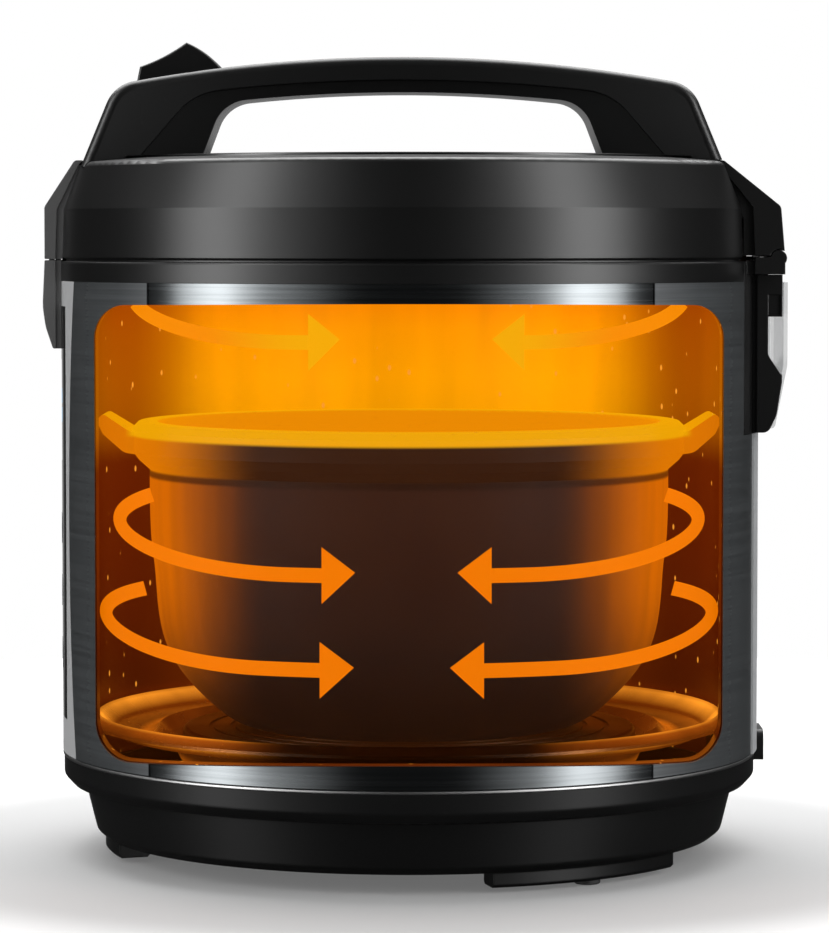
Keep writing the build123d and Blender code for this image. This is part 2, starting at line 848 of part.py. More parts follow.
def rear_frame():
    """Black frame at the rear: carries the hinge and the collector's holder."""
    strip = block(0, far, -frame_half, frame_half, 0, far)
    frame = turned(top_profile()) & strip
    frame += tube(body_radius - frame_depth, body_radius, rear_top + fit, wall_top + 1) & strip
    half = hinge_end - hinge_end_wall - clearance
    stop = hinge_x - barrel_radius - 0.8
    ledge = block(0, frame_face, -half, half, frame_low, hinge_z - 3.0)
    ledge += block(0, stop, -half, half, frame_low, body_top)
    frame += ledge - disc(body_radius - 1.5, 0, far)
    for y0, y1 in sides(*outer_knuckle):
        frame += across(barrel_radius, hinge_x, hinge_z, y0, y1)
        frame += block(hinge_x - barrel_radius, hinge_x + 1.0, y0, y1, hinge_z - 3.5, hinge_z)
    for y0, y1 in sides(half - 1.0, hinge_end):
        frame += block(body_radius - hinge_end_start, frame_face, y0, y1, frame_low, hinge_z + barrel_gap)
        frame += across(barrel_radius, hinge_x, hinge_z, y0, y1)
    middle = inner_knuckle[1] + 0.5
    frame -= across(barrel_radius + 0.5, hinge_x, hinge_z, -middle, middle)
    end = outer_knuckle[1] + fit
    return frame - across(pin_radius, hinge_x, hinge_z, -end, end)


def hinge_pin():
    """Hinge pin."""
    return across(pin_radius, hinge_x, hinge_z, -outer_knuckle[1], outer_knuckle[1])


def hinge_spring():
    """Lid spring on the hinge pin, drawn as its closed outline."""
    y = spring_half
    spring = across(barrel_radius - 0.3, hinge_x, hinge_z, -y, y)
    return spring - across(pin_radius + fit, hinge_x, hinge_z, -y - 1, y + 1)


def holder_outline():
    """Side outline of the collector's holder."""
    face = body_radius + holder_reach
    low = rear_top + 0.4
    high = frame_low - 0.2
    return outline([(0, low), (face - 5.6, low), (face - 2.2, low + 7), (face, low + 21),
                    (face, high), (0, high)], [0, 3.5, 10, 12, 0, 0])


def holder_sight():
    """Opening in the holder's cheeks through which the cup shows, seen from the side."""
    top = cup_high - 14.0
    low = top - 23.7
    back = cup_back + 0.2
    face = outline([(back, top), (far, top), (far, low), (cup_face - 3.0, low), (back, low + 8.0)],
                   [0, 0, 0, 0, 4.0])
    return slab(face, -holder_half - 1, holder_half + 1)


def collector_holder():
    """Holder of the condensate collector: two cheeks with sight openings, a back and a shelf."""
    holder = slab(holder_outline(), -holder_half, holder_half) - disc(body_radius, 0, far)
    holder -= block(cup_back - clearance, far, -cup_half - clearance, cup_half + clearance, cup_low - 0.4, far)
    holder -= holder_sight()
    for y0, y1 in sides(holder_half - 1.5, holder_half + 1):
        holder -= block(0, body_radius - 2.4, y0, y1, 0, far)
    for y0, y1 in sides(holder_half - 0.8, holder_half + 1):
        holder -= block(cup_back + 0.2, cup_face - 3.3, y0, y1, cup_high - 13.2, cup_high - 5)
    return holder


def collector_cup():
    """Clear cup that catches the condensate from the lid."""
    side = outline([(cup_back, cup_low), (cup_back + 3.4, cup_low), (cup_face, cup_low + 26),
                    (cup_face, cup_high), (cup_back, cup_high)], [1.6, 1.7, 14, 0, 0])
    half = cup_half - cup_wall
    hollow = slab(offset(side, -cup_wall), -half, half)
    hollow += block(cup_back + cup_wall, cup_face - cup_wall, -half, half, cup_high - 20, cup_high + 5)
    return slab(side, -cup_half, cup_half) - hollow


def power_inlet():
    """Power inlet with its recess."""
    inlet = inlet_prism(0.0, inlet_face - inlet_length, inlet_face)
    half = inlet_half - inlet_wall
    low = inlet_low + inlet_wall
    high = inlet_high - inlet_wall - 1
    face = outline([(-half, low), (half, low), (half, high), (-half, high)], 1.5)
    return inlet - bar(face, inlet_face - inlet_depth, far)


def inlet_pins():
    """Three contact pins of the inlet."""
    z = (inlet_low + inlet_high) / 2
    back = inlet_face - inlet_depth
    pins = [block(back, back + socket_pin_length, n * socket_pin_pitch - 1.0, n * socket_pin_pitch + 1.0,
                  z - 1.6, z + 1.6) for n in (-1, 0, 1)]
    return Part(children=[p.solid() for p in pins])


# Lid

def lid_form(side=0.0, edge=0.0):
    """The lid's outer form as a filled solid, larger by one gap at its side and another at its top edge."""
    return turned([(0, lid_bottom - 2), (lid_radius + side, lid_bottom - 2), (lid_radius + side, lid_bottom),
                   (lid_crease_radius + side, lid_crease), (lid_edge_radius + edge, lid_edge + edge),
                   (plate_hole, lid_top - 1.0 + edge), (0, lid_top - 1.0 + edge)], [0, 0, 0, 0, 3.0, 0, 0])


def lid_shell():
    """Moulded lid shell with a skirt, screw bosses, latch bearings and openings for the hook and rod."""
    seat = lid_top - top_plate_thickness
    skirt = skirt_outer()
    section = [(skirt - skirt_thickness, body_top - skirt_depth), (skirt, body_top - skirt_depth),
               (skirt, lid_bottom), (lid_radius - 0.8, lid_bottom), (lid_radius, lid_bottom + 0.8),
               (lid_crease_radius, lid_crease), (lid_edge_radius, lid_edge), (plate_hole, lid_top - 1.0),
               (plate_hole, seat), (plate_hole - lid_seat_width, seat),
               (plate_hole - lid_seat_width, seat - 2.5), (lid_edge_radius - 2.2, lid_edge - 3.0),
               (lid_crease_radius - shell_thickness, lid_crease - 0.6)]
    shell = turned(section, [0, 0, 0, 0, 0, 0, 3.0, 0.4, 0, 0, 0, 2.0, 0])
    for angle in turns(4, 45.0):
        boss = disc(4.0, inner_frame_top, seat - 2.0, lid_screws_circle)
        shell += Rot(0, 0, angle) * (boss - disc(latch_pin_radius, 0, inner_frame_low + 14, lid_screws_circle))
    for y0, y1 in sides(latch_half + 3.2, latch_half + 7):
        shell += block(latch_x - 2.4, latch_x + 4.5, y0, y1,
                       latch_z - latch_bearing_half, latch_z + latch_bearing_half)
    half = latch_half + 3.0
    shell -= block(-far, latch_x + 17.6, -half, half, 0, latch_z + 14)
    shell -= across(latch_pin_radius, latch_x, latch_z, -latch_half - 6.5, latch_half + 6.5)
    shell -= block(hinge_cover_front, far, -hinge_cover_gap, hinge_cover_gap, 0, far)
    return shell - rod_passage()


def lid_top_plate():
    """Brushed steel disc on top of the lid, with a recess for the steam vent."""
    plate = disc(plate_hole - fit, lid_top - top_plate_thickness, lid_top)
    plate = fillet(plate.edges().group_by(Axis.Z)[-1], 0.6)
    plate -= disc(vent_radius + clearance, 0, far, *vent_place)
    plate -= disc(vent_radius + vent_lip + clearance, lid_top - 1.0, far, *vent_place)
    return plate - rod_passage()


def strap_room():
    """Room inside the front covers for the latch."""
    half = latch_half + 2.5
    inside = strap_face - strap_wall
    face = outline([(-inside, 0), (-inside, lid_crease), (-strap_face + 7.6, lid_crease + 10),
                    (latch_x + 22.6, lid_crease + 10), (latch_x + 22.6, 0)])
    return slab(face, -half, half)


def lid_front_cover():
    """Cover over the latch at the front of the lid: a strap that stands off the shell."""
    low = strap_top + strap_seam
    end = handle_shift - handle_foot - 0.6
    side = outline([(-strap_face + 20.6, low), (-strap_face, low), (-strap_face, lid_crease + 1),
                    (-lid_edge_radius - 1.4, lid_edge + 1.0), (end, lid_edge + 1.0)],
                   [0, 0.4, 3.0, 2.0, 0])
    whole = slab(side, -strap_half, strap_half)
    cover = whole - lid_form(strap_gap, 0.5)
    necks = whole - lid_form()
    for y0, y1 in sides(neck_start, neck_half):
        cover += necks & block(-far, 0, y0, y1, 0, lid_edge - 1.0)
    for y0, y1 in sides(latch_half + 3.7, neck_start):
        cover -= block(-strap_face + strap_wall, 0, y0, y1, 0, strap_top + tongue_rise + 0.4)
    return cover - strap_room()


def front_catch_cover():
    """Cover over the catch at the front of the body, with two tongues that close the seam above it."""
    low = strap_top - strap_tail
    bulge = strap_face + strap_bulge
    side = outline([(-strap_face + 10.6, strap_top), (-strap_face, strap_top), (-bulge, strap_top - 19.0),
                    (-bulge + 1.2, strap_top - 27.5), (-bulge + 4.2, low), (-strap_face + 10.6, low)],
                   [0, 0.4, 30, 20, 0.9, 0])
    whole = slab(side, -strap_half, strap_half)
    cover = whole - disc(body_radius + strap_gap - lid_inset, 0, far)
    necks = whole - disc(body_radius, 0, far)
    for y0, y1 in sides(latch_half + 5.0, neck_half):
        cover += necks & block(-far, 0, y0, y1, 0, far)
    for y0, y1 in sides(latch_half + 4.0, neck_start - clearance):
        cover += block(-strap_face + strap_wall + clearance, -strap_face + 3.8, y0, y1,
                       strap_top - 2, strap_top + tongue_rise)
    half = latch_half + 2.5
    return cover - block(-strap_face + strap_wall - 0.4, 0, -half, half, wall_top - 1.5, far)


def hinge_cover_line():
    """Outer side line of the hinge cover, from its lower edge to its front."""
    return [(strap_face + 2.3, hinge_z + 1), (strap_face + 0.6, lid_crease + 1),
            (lid_edge_radius - 8.6, lid_edge + 0.4), (hinge_cover_front + 0.2, lid_edge + 1.0)]


def lid_hinge_cover():
    """Cover over the hinge at the rear of the lid: cheeks, recessed wings and the lid's two knuckles."""
    outer = hinge_cover_line()
    wall = hinge_cover_wall
    inner = [(hinge_cover_front + 0.2, lid_edge - 1.2), (lid_edge_radius - 9.6, lid_edge - 1.8),
             (strap_face - 1.6, lid_crease), (strap_face + 0.2, hinge_z + 1)]
    cover = slab(outline(outer + inner, [0.6, 3, 3, 0, 0, 1, 1, 0]), -hinge_cover_half, hinge_cover_half)
    cheek = outline(outer[:3] + [(lid_edge_radius - 10.2, lid_edge - 2), (strap_face - 10.8, lid_crease + 0.7),
                                 (strap_face - 10.0, hinge_z + 1)], [0.6, 3, 0, 0, 2, 0])
    for y0, y1 in sides(hinge_cover_half - wall, hinge_cover_half):
        cover += slab(cheek, y0, y1)
    wing = outline(inner[1:] + [(lid_radius - 8.4, hinge_z + 1), (lid_radius - 8.4, lid_crease - 4),
                                (lid_edge_radius - 10.6, lid_edge - 8)])
    for y0, y1 in sides(hinge_cover_half - 2.5 * wall, hinge_cover_half - wall):
        cover += slab(wing, y0, y1)
    cover -= across(barrel_radius + 0.5, hinge_x, hinge_z, -far, far)
    for y0, y1 in sides(*inner_knuckle):
        cover += across(barrel_radius, hinge_x, hinge_z, y0, y1)
        cover += block(hinge_x - 0.5, hinge_x + 2.2, y0, y1, hinge_z + 1, hinge_z + 6)
    return cover - across(pin_radius + fit, hinge_x, hinge_z, -far, far)


def lid_inner_frame():
    """Inner frame that closes the lid from below."""
    low = inner_frame_low
    high = inner_frame_top
    rim = lid_radius - 3.1
    section = [(spindle_radius + clearance, low), (rim - 5.3, low), (rim - 1.9, low - 3.5), (rim, low - 3.5),
               (rim, low), (rim - 2.8, high), (spindle_radius + clearance, high)]
    frame = turned(section)
    frame += tube(spindle_radius + clearance, spindle_radius + 7, high - 0.5, high + 6)
    frame -= disc(8.0, 0, far, *vent_place)
    for angle in turns(4, 45.0):
        frame -= Rot(0, 0, angle) * disc(1.6, 0, far, lid_screws_circle)
    half = latch_half + 2.0
    return frame - block(-far, latch_x + 6.0, -half, half, 0, far)


def lid_screws():
    """Four screws that hold the inner frame."""
    screws = []
    for angle in turns(4, 45.0):
        screw = disc(3.0, inner_frame_low - 1.6, inner_frame_low, lid_screws_circle)
        screw += disc(1.2, inner_frame_low - 0.1, inner_frame_low + 13, lid_screws_circle)
        screws.append((Rot(0, 0, angle) * screw).solid())
    return Part(children=screws)


def lid_heater():
    """Flat heating ring under the inner frame."""
    return tube(heater_inner, heater_outer, inner_frame_low - 1.4, inner_frame_low)


def inner_lid():
    """Removable steel inner lid with its vent holes."""
    line = [(spindle_radius + clearance, inner_lid_top), (inner_lid_radius - 10.0, inner_lid_top),
            (inner_lid_radius - 5.0, inner_lid_rim), (inner_lid_radius, inner_lid_rim)]
    plate = sheet(line, inner_lid_thickness)
    for angle in turns(8, 0.0):
        hole = Pos(7, 0, inner_lid_top) * Cylinder(1.6, 10)
        plate -= Pos(*vent_place, 0) * Rot(0, 0, angle) * hole
    return plate


def lid_gasket():
    """Rubber seal round the inner lid."""
    inner = liner_inner - 1.4
    outer = flange_outer - 0.4
    low = inner_lid_rim - 3.2
    high = low + gasket_height
    ring = turned([(inner, low + 0.2), (outer, low), (outer, high), (inner, high)], [1.0, 1.5, 0.5, 0.5])
    return ring - disc(inner_lid_radius, inner_lid_rim - inner_lid_thickness, inner_lid_rim)


def inner_lid_knob():
    """Knob that holds the inner lid: turned by hand from below."""
    top = inner_lid_top - inner_lid_thickness
    low = top - 5.3
    knob = fillet(disc(knob_radius, low, top).edges().group_by(Axis.Z)[0], 1.5)
    knob += disc(spindle_radius, top - 1, inner_frame_low + 8)
    return knob + block(1.5 - knob_radius, knob_radius - 1.5, -2.0, 2.0, low - 2, low + 1)


def vent_tube():
    """Tube between the inner frame and the top plate, round the steam vent."""
    high = lid_top - top_plate_thickness
    return tube(vent_radius + 0.5, vent_radius + 2.3, inner_frame_top, high, *vent_place)


def steam_vent():
    """Removable steam vent, flush with the top plate."""
    vent = disc(vent_radius + vent_lip, lid_top - 1.0, lid_top, *vent_place)
    vent = fillet(vent.edges().group_by(Axis.Z)[-1], 0.4)
    low = lid_top - vent_depth
    vent += tube(vent_radius - vent_wall, vent_radius, low, lid_top - 0.5, *vent_place)
    vent += tube(3.0, vent_radius, low, low + vent_wall, *vent_place)
    x, y = vent_place
    for shift in (-5.0, 0.0, 5.0):
        vent -= block(x + shift - 1, x + shift + 1, y - 6, y + 6, lid_top - 3, far)
    return vent


# Handle

def arch_face(corner_x, corner_z, crown, foot, low, corner_radius):
    """Arch outline in (X, Z), centred on X = 0: two slanted sides and a curved top."""
    left = Line((-foot, low), (-corner_x, corner_z))
    top = ThreePointArc((-corner_x, corner_z), (0, crown), (corner_x, corner_z))
    right = Line((corner_x, corner_z), (foot, low))
    face = make_face([left, top, right, Line((foot, low), (-foot, low))])
    upper = face.vertices().group_by(Axis.Y)[-1]
    return fillet(upper, corner_radius)


def liner_border():
    """Border between the handle and its liner."""
    return arch_face(liner_foot_half - liner_lean, liner_crown - liner_corner_drop, liner_crown,
                     liner_foot_half, handle_low, liner_radius)


def grip_plan(inset=0.0):
    """Plan of the handle: wide feet and a narrow grip."""
    ends = handle_foot + 1
    foot = foot_half - inset
    grip = grip_half - inset
    near = ThreePointArc((-ends, -foot), (0, -grip), (ends, -foot))
    away = ThreePointArc((ends, foot), (0, grip), (-ends, foot))
    return make_face([near, Line((ends, -foot), (ends, foot)), away, Line((-ends, foot), (-ends, -foot))])


def lid_mass():
    """The lid's form up to the top plate's face, as one solid."""
    return lid_form() + disc(plate_hole, lid_bottom, lid_top)


def handle_arch():
    """Carrying handle on the lid, with the slider's seat and the rod's channel."""
    face = arch_face(handle_shoulder, shoulder_height, grip_top, handle_foot, handle_low, shoulder_radius)
    wide = foot_half + 20
    solid = slab(face, -wide, wide) & extrude(grip_plan(), far)
    upper = solid.edges().filter_by(lambda e: abs(e.center().Y) > grip_half - 5 and e.center().Z > lid_edge + 5)
    solid = fillet(upper, handle_edge)
    solid -= slab(liner_border(), -wide, wide)
    solid = Pos(handle_shift, 0, 0) * solid
    solid -= slider_seat()
    solid -= lid_mass()
    solid -= block(hinge_cover_front, far, -far, far, 0, lid_edge + 1.0)
    return solid - rod_channel()


def handle_liner():
    """Inner lining of the handle round the finger gap."""
    gap = arch_face(gap_half - gap_lean, gap_high - gap_corner_drop, gap_high, gap_half, gap_low, gap_radius)
    solid = slab(liner_border() - gap, -far, far) & extrude(grip_plan(liner_step), far)
    return Pos(handle_shift, 0, 0) * solid - lid_mass()


# Release slider and latch

def slider_base(x):
    """Height of the slider's underside at an X."""
    slope = sin(radians(slider_slope)) / cos(radians(slider_slope))
    return shoulder_height + slider_seat_rise + (x - slider_x) * slope


def slider_seat():
    """Flat seat cut into the handle under the slider."""
    x0 = slider_x - 7
    x1 = slider_x + slider_length + slider_travel + 7
    face = outline([(x0, slider_base(x0) - clearance), (x1, slider_base(x1) - clearance), (x1, far), (x0, far)])
    return slab(face, -slider_half - 0.5, slider_half + 0.5)


def hook_tip():
    """Place (X, Z) of the hook's cross pin."""
    return latch_x + hook_arm_x, latch_z + hook_arm_z


def rod_leg():
    """Place (X, Z) where the rod enters the handle's front leg."""
    x, z = hook_tip()
    return x + rod_leg_x, z + rod_leg_rise


def rod_head():
    """Place (X, Z) where the rod straightens under the slider."""
    return slider_x + rod_head_x, slider_base(slider_x) - rod_head_drop


def rod_channel():
    """Channel in the handle's front leg, as long as the rod's travel."""
    tip_x, tip_z = hook_tip()
    leg_x, leg_z = rod_leg()
    head_x, head_z = rod_head()
    reach = slider_travel + 0.4
    back = rod_width + rod_gap
    face = outline([(tip_x + 2, tip_z + 2.5), (tip_x + 9, tip_z - 2.5), (leg_x + reach, leg_z + 0.5),
                    (head_x + reach, head_z + 0.5), (head_x + reach, head_z + 12.5),
                    (head_x - back, head_z + 12.5), (head_x - back, head_z - 0.2),
                    (leg_x - back, leg_z - 0.4)])
    return slab(face, -rod_half - rod_gap, rod_half + rod_gap)


def rod_passage():
    """Opening for the rod in the top of the lid."""
    x, z = hook_tip()
    half = rod_half + rod_gap
    return block(x + 3.4, x + 17.0, -half, half, z + 0.5, lid_top + 0.1)


def release_slider():
    """Release slider on the handle's front shoulder."""
    low = slider_base(slider_x)
    end = slider_x + slider_length
    front = (slider_x + 1.5, low + slider_nose_rise)
    peak = (slider_x + slider_peak_x, low + slider_peak_rise)
    tail = (end - 0.5, low + slider_tail_rise)
    hollow = (slider_x + 11.4, low + 11.5)
    bulge = (end - 7.5, low + 13.7)
    side = make_face([Line((slider_x, low), front), ThreePointArc(front, hollow, peak),
                      ThreePointArc(peak, bulge, tail), Line(tail, (end, slider_base(end))),
                      Line((end, slider_base(end)), (slider_x, low))])
    knob = slab(side, -slider_half, slider_half)
    return fillet(knob.edges().filter_by(lambda e: abs(e.center().Y) > slider_half - 0.1
                                         and e.center().Z > slider_base(e.center().X) + 1), 1.0)


def release_rod():
    """Rod under the slider, with the slot for the hook's pin: the slot is as long as the pin's fall."""
    tip_x, tip_z = hook_tip()
    leg_x, leg_z = rod_leg()
    head_x, head_z = rod_head()
    side = outline([(tip_x - 3.6, tip_z - 7.6), (tip_x + 3.5, tip_z - 7.6), (tip_x + 3.5, tip_z - 3.5),
                    (leg_x, leg_z), (head_x, head_z), (head_x, head_z + 4.5),
                    (head_x - rod_width, head_z + 4.5), (head_x - rod_width, head_z),
                    (leg_x - rod_width, leg_z), (tip_x + 3.2, tip_z + 3.4), (tip_x - 3.6, tip_z + 3.4)])
    slot = outline([(tip_x - 2.3, tip_z - 6.2), (tip_x + 1.8, tip_z - 6.2), (tip_x + 1.8, tip_z + 2.2),
                    (tip_x - 2.3, tip_z + 2.2)])
    rod = slab(side, -rod_half, rod_half) - slab(slot, -rod_half - 1, rod_half + 1)
    return rod - release_slider()


def latch_hook():
    """Latch hook: nose under the striker, hub on its pin, two arms and a cross pin."""
    half = hook_thickness / 2
    top = striker_low - hook_gap
    nose = striker_x + 2.6
    lower = outline([(latch_x - half, top - 2.7), (nose, top - 2.7), (nose, top), (latch_x + half - 0.3, top),
                     (latch_x + half, latch_z), (latch_x - half, latch_z)], [0.6, 0.4, 0.4, 0.3, 0, 0])
    hook = slab(lower, -latch_half, latch_half) + across(3.0, latch_x, latch_z, -latch_half, latch_half)
    tip = hook_tip()
    arm = outline([(latch_x, latch_z - 2), (latch_x + 2.4, latch_z - 1), (tip[0] + 2.0, tip[1] - 1.5),
                   (tip[0] + 1.0, tip[1] + 1.5), (tip[0] - 1.5, tip[1] + 1.2), (latch_x - 1.5, latch_z + 2)])
    for y0, y1 in sides(rod_half + rod_gap, latch_half / 2):
        hook += slab(arm, y0, y1)
    hook += across(hook_pin_radius, tip[0], tip[1], -latch_half / 2, latch_half / 2)
    return hook - across(latch_pin_radius + fit, latch_x, latch_z, -far, far)


def latch_pin():
    """Pin of the latch hook."""
    return across(latch_pin_radius, latch_x, latch_z, -latch_half - 6.5, latch_half + 6.5)


def buttons():
    """Names and shapes of the front panel's buttons."""
    return {name: button(y, z) for name, (y, z) in zip(button_names, button_places())}


pieces = (
    base_housing, foot_pads, bottom_cover, bottom_screws, power_board, side_wall_window, side_wall_far,
    window_seal, window_pane, window_frame, chamber_liner, reflector_dish, heater_plate, heating_element,
    sensor_guide, sensor_spring, sensor_plunger, side_heater_band, thermal_fuse, pot, front_panel,
    front_fascia, display_window, display_module, control_board, rear_panel, top_ring, catch_striker,
    rear_frame, hinge_pin, hinge_spring, collector_holder, collector_cup, power_inlet, inlet_pins,
    lid_shell, lid_top_plate, lid_front_cover, front_catch_cover, lid_hinge_cover, lid_inner_frame,
    lid_screws, lid_heater, inner_lid, lid_gasket, inner_lid_knob, vent_tube, steam_vent, handle_arch,
    handle_liner, release_slider, release_rod, latch_hook, latch_pin,
)

os.makedirs("parts", exist_ok=True)
for piece in pieces:
    print(piece.__name__)
    export_step(piece(), f"parts/{piece.__name__}.step")
for name, shape in buttons().items():
    export_step(shape, f"parts/{name}.step")
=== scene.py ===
"""Round countertop multicooker with a glazed window: finishes, small pieces, light and camera."""

import json
import math

import bpy
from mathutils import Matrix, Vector

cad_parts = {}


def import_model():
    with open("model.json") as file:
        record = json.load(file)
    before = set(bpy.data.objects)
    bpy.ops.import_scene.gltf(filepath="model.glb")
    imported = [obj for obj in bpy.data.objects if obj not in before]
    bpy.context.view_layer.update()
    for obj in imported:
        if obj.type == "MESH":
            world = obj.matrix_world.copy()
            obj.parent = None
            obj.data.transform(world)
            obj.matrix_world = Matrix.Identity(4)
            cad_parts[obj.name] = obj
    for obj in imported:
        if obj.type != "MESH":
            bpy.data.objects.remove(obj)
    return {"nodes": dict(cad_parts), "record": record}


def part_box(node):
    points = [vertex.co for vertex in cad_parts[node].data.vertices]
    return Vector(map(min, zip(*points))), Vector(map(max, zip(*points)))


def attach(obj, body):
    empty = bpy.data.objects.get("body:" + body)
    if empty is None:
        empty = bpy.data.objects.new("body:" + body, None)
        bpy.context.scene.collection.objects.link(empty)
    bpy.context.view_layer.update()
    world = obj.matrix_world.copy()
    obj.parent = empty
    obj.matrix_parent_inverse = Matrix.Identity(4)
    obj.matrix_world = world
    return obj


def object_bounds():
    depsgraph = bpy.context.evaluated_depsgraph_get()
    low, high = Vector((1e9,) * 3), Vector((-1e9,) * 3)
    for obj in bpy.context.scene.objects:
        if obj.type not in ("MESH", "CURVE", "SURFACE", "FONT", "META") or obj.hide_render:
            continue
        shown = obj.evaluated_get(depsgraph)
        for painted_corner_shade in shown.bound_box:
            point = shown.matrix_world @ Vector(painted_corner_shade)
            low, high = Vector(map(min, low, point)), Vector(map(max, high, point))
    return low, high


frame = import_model()
nodes = frame["nodes"]
cad_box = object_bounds()

MM = 0.001

# Sizes from the frame, in metres
body_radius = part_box("side_wall_far")[1][1]
wall_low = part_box("side_wall_far")[0][2]
pane_low, pane_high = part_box("window_pane")
pot_low, pot_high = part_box("pot")
liner_low, liner_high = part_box("chamber_liner")
floor_height = cad_box[0][2]
plate_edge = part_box("lid_top_plate")[1][0]

# Sizes that the boxes don't give: the pane's inner face, the pot's bore, how far the ears stand
# above the rim, and where the wall's satin front and rear parts start
pane_inner = body_radius - 3.86 * MM
pot_bore = 103.0 * MM
ear_rise = 7.0 * MM
pot_rim = pot_high[2] - ear_rise
front_seam = -102.8 * MM
rear_seam = 96.0 * MM

# Depth of the finest relief in a finish
FINE_RELIEF = 0.02 * MM


def body_of(node):
    """The body that a CAD node rides on."""
    for body, members in frame["record"]["behaviour"]["bodies"].items():
        if node in members:
            return body
    raise KeyError(node)


# Node helpers

def shader(name):
    """A new material with one Principled BSDF, as (material, tree, bsdf)."""
    material = bpy.data.materials.new(name)
    material.use_nodes = True
    tree = material.node_tree
    return material, tree, tree.nodes["Principled BSDF"]


def add(tree, kind, **settings):
    """Adds a node and sets its properties."""
    made = tree.nodes.new(kind)
    for key, value in settings.items():
        setattr(made, key, value)
    return made


def plug(tree, source, target):
    """Links one socket to another."""
    tree.links.new(source, target)


def number(tree, operation, first, second=None, clamp=False):
    """A Math node; each input is a socket or a number."""
    made = add(tree, "ShaderNodeMath", operation=operation, use_clamp=clamp)
    for place, value in enumerate((first, second)):
        if value is None:
            continue
        if isinstance(value, (int, float)):
            made.inputs[place].default_value = value
        else:
            plug(tree, value, made.inputs[place])
    return made.outputs[0]


def span(tree, value, low, high, to_low=0.0, to_high=1.0):
    """Map Range, smooth and clamped."""
    made = add(tree, "ShaderNodeMapRange", interpolation_type="SMOOTHSTEP")
    plug(tree, value, made.inputs["Value"])
    made.inputs["From Min"].default_value = low
    made.inputs["From Max"].default_value = high
    made.inputs["To Min"].default_value = to_low
    made.inputs["To Max"].default_value = to_high
    return made.outputs["Result"]


def span_flat(tree, value, low, high):
    """Map Range from 0 to 1, straight and clamped."""
    made = add(tree, "ShaderNodeMapRange")
    plug(tree, value, made.inputs["Value"])
    made.inputs["From Min"].default_value = low
    made.inputs["From Max"].default_value = high
    return made.outputs["Result"]


def grey(tree, value):
    """A grey colour from one value."""
    made = add(tree, "ShaderNodeCombineColor")
    for place in range(3):
        plug(tree, value, made.inputs[place])
    return made.outputs[0]


def blend_colours(tree, mask, first, second, mode="MIX"):
    """Mixes two colours by a mask."""
    made = add(tree, "ShaderNodeMix", data_type="RGBA", blend_type=mode)
    if isinstance(mask, (int, float)):
        made.inputs[0].default_value = mask
    else:
        plug(tree, mask, made.inputs[0])
    for place, value in ((6, first), (7, second)):
        if isinstance(value, tuple):
            made.inputs[place].default_value = value if len(value) == 4 else (*value, 1.0)
        else:
            plug(tree, value, made.inputs[place])
    return made.outputs[2]


def ramp(tree, value, stops):
    """Colour ramp with (position, colour) stops."""
    made = add(tree, "ShaderNodeValToRGB")
    band = made.color_ramp
    while len(band.elements) < len(stops):
        band.elements.new(0.5)
    for element, (place, colour) in zip(band.elements, stops):
        element.position = place
        element.color = (*colour, 1.0)
    plug(tree, value, made.inputs["Fac"])
    return made.outputs["Color"]


def place_axes(tree):
    """Object coordinates and their X, Y and Z."""
    coords = add(tree, "ShaderNodeTexCoord").outputs["Object"]
    parts = add(tree, "ShaderNodeSeparateXYZ")
    plug(tree, coords, parts.inputs[0])
    return coords, parts.outputs["X"], parts.outputs["Y"], parts.outputs["Z"]


def noise(tree, coords, scale, detail=4.0, stretch=(1.0, 1.0, 1.0)):
    """Noise on stretched coordinates."""
    mapping = add(tree, "ShaderNodeMapping")
    mapping.inputs["Scale"].default_value = stretch
    plug(tree, coords, mapping.inputs["Vector"])
    made = add(tree, "ShaderNodeTexNoise")
    made.inputs["Scale"].default_value = scale
    made.inputs["Detail"].default_value = detail
    plug(tree, mapping.outputs[0], made.inputs["Vector"])
    return made.outputs["Fac"]


def bump(tree, bsdf, height, distance, strength=1.0, edge=0.0):
    """Feeds a height to the normal, with the edges rounded by a radius."""
    made = add(tree, "ShaderNodeBump")
    made.inputs["Distance"].default_value = distance
    made.inputs["Strength"].default_value = strength
    plug(tree, height, made.inputs["Height"])
    if edge:
        rounded = add(tree, "ShaderNodeBevel", samples=6)
        rounded.inputs["Radius"].default_value = edge
        plug(tree, rounded.outputs[0], made.inputs["Normal"])
    plug(tree, made.outputs[0], bsdf.inputs["Normal"])


def outward(tree, coords):
    """How far a surface faces away from the vertical axis, from -1 to 1."""
    flat = add(tree, "ShaderNodeVectorMath", operation="MULTIPLY")
    plug(tree, coords, flat.inputs[0])
    flat.inputs[1].default_value = (1.0, 1.0, 0.0)
    unit = add(tree, "ShaderNodeVectorMath", operation="NORMALIZE")
    plug(tree, flat.outputs[0], unit.inputs[0])
    share = add(tree, "ShaderNodeVectorMath", operation="DOT_PRODUCT")
    plug(tree, unit.outputs[0], share.inputs[0])
    plug(tree, add(tree, "ShaderNodeTexCoord").outputs["Normal"], share.inputs[1])
    return share.outputs["Value"]


def shape_axes(tree):
    """Object coordinates, then distance from the vertical axis and from the middle plane, height and
    how far the surface faces up."""
    coords, x, y, z = place_axes(tree)
    facing = add(tree, "ShaderNodeSeparateXYZ")
    plug(tree, add(tree, "ShaderNodeTexCoord").outputs["Normal"], facing.inputs[0])
    side = number(tree, "ABSOLUTE", x)
    radius = number(tree, "SQRT", number(tree, "ADD", number(tree, "MULTIPLY", x, x),
                                         number(tree, "MULTIPLY", y, y)))
    return coords, radius, side, z, facing.outputs["Z"]


# Shared effects as node groups

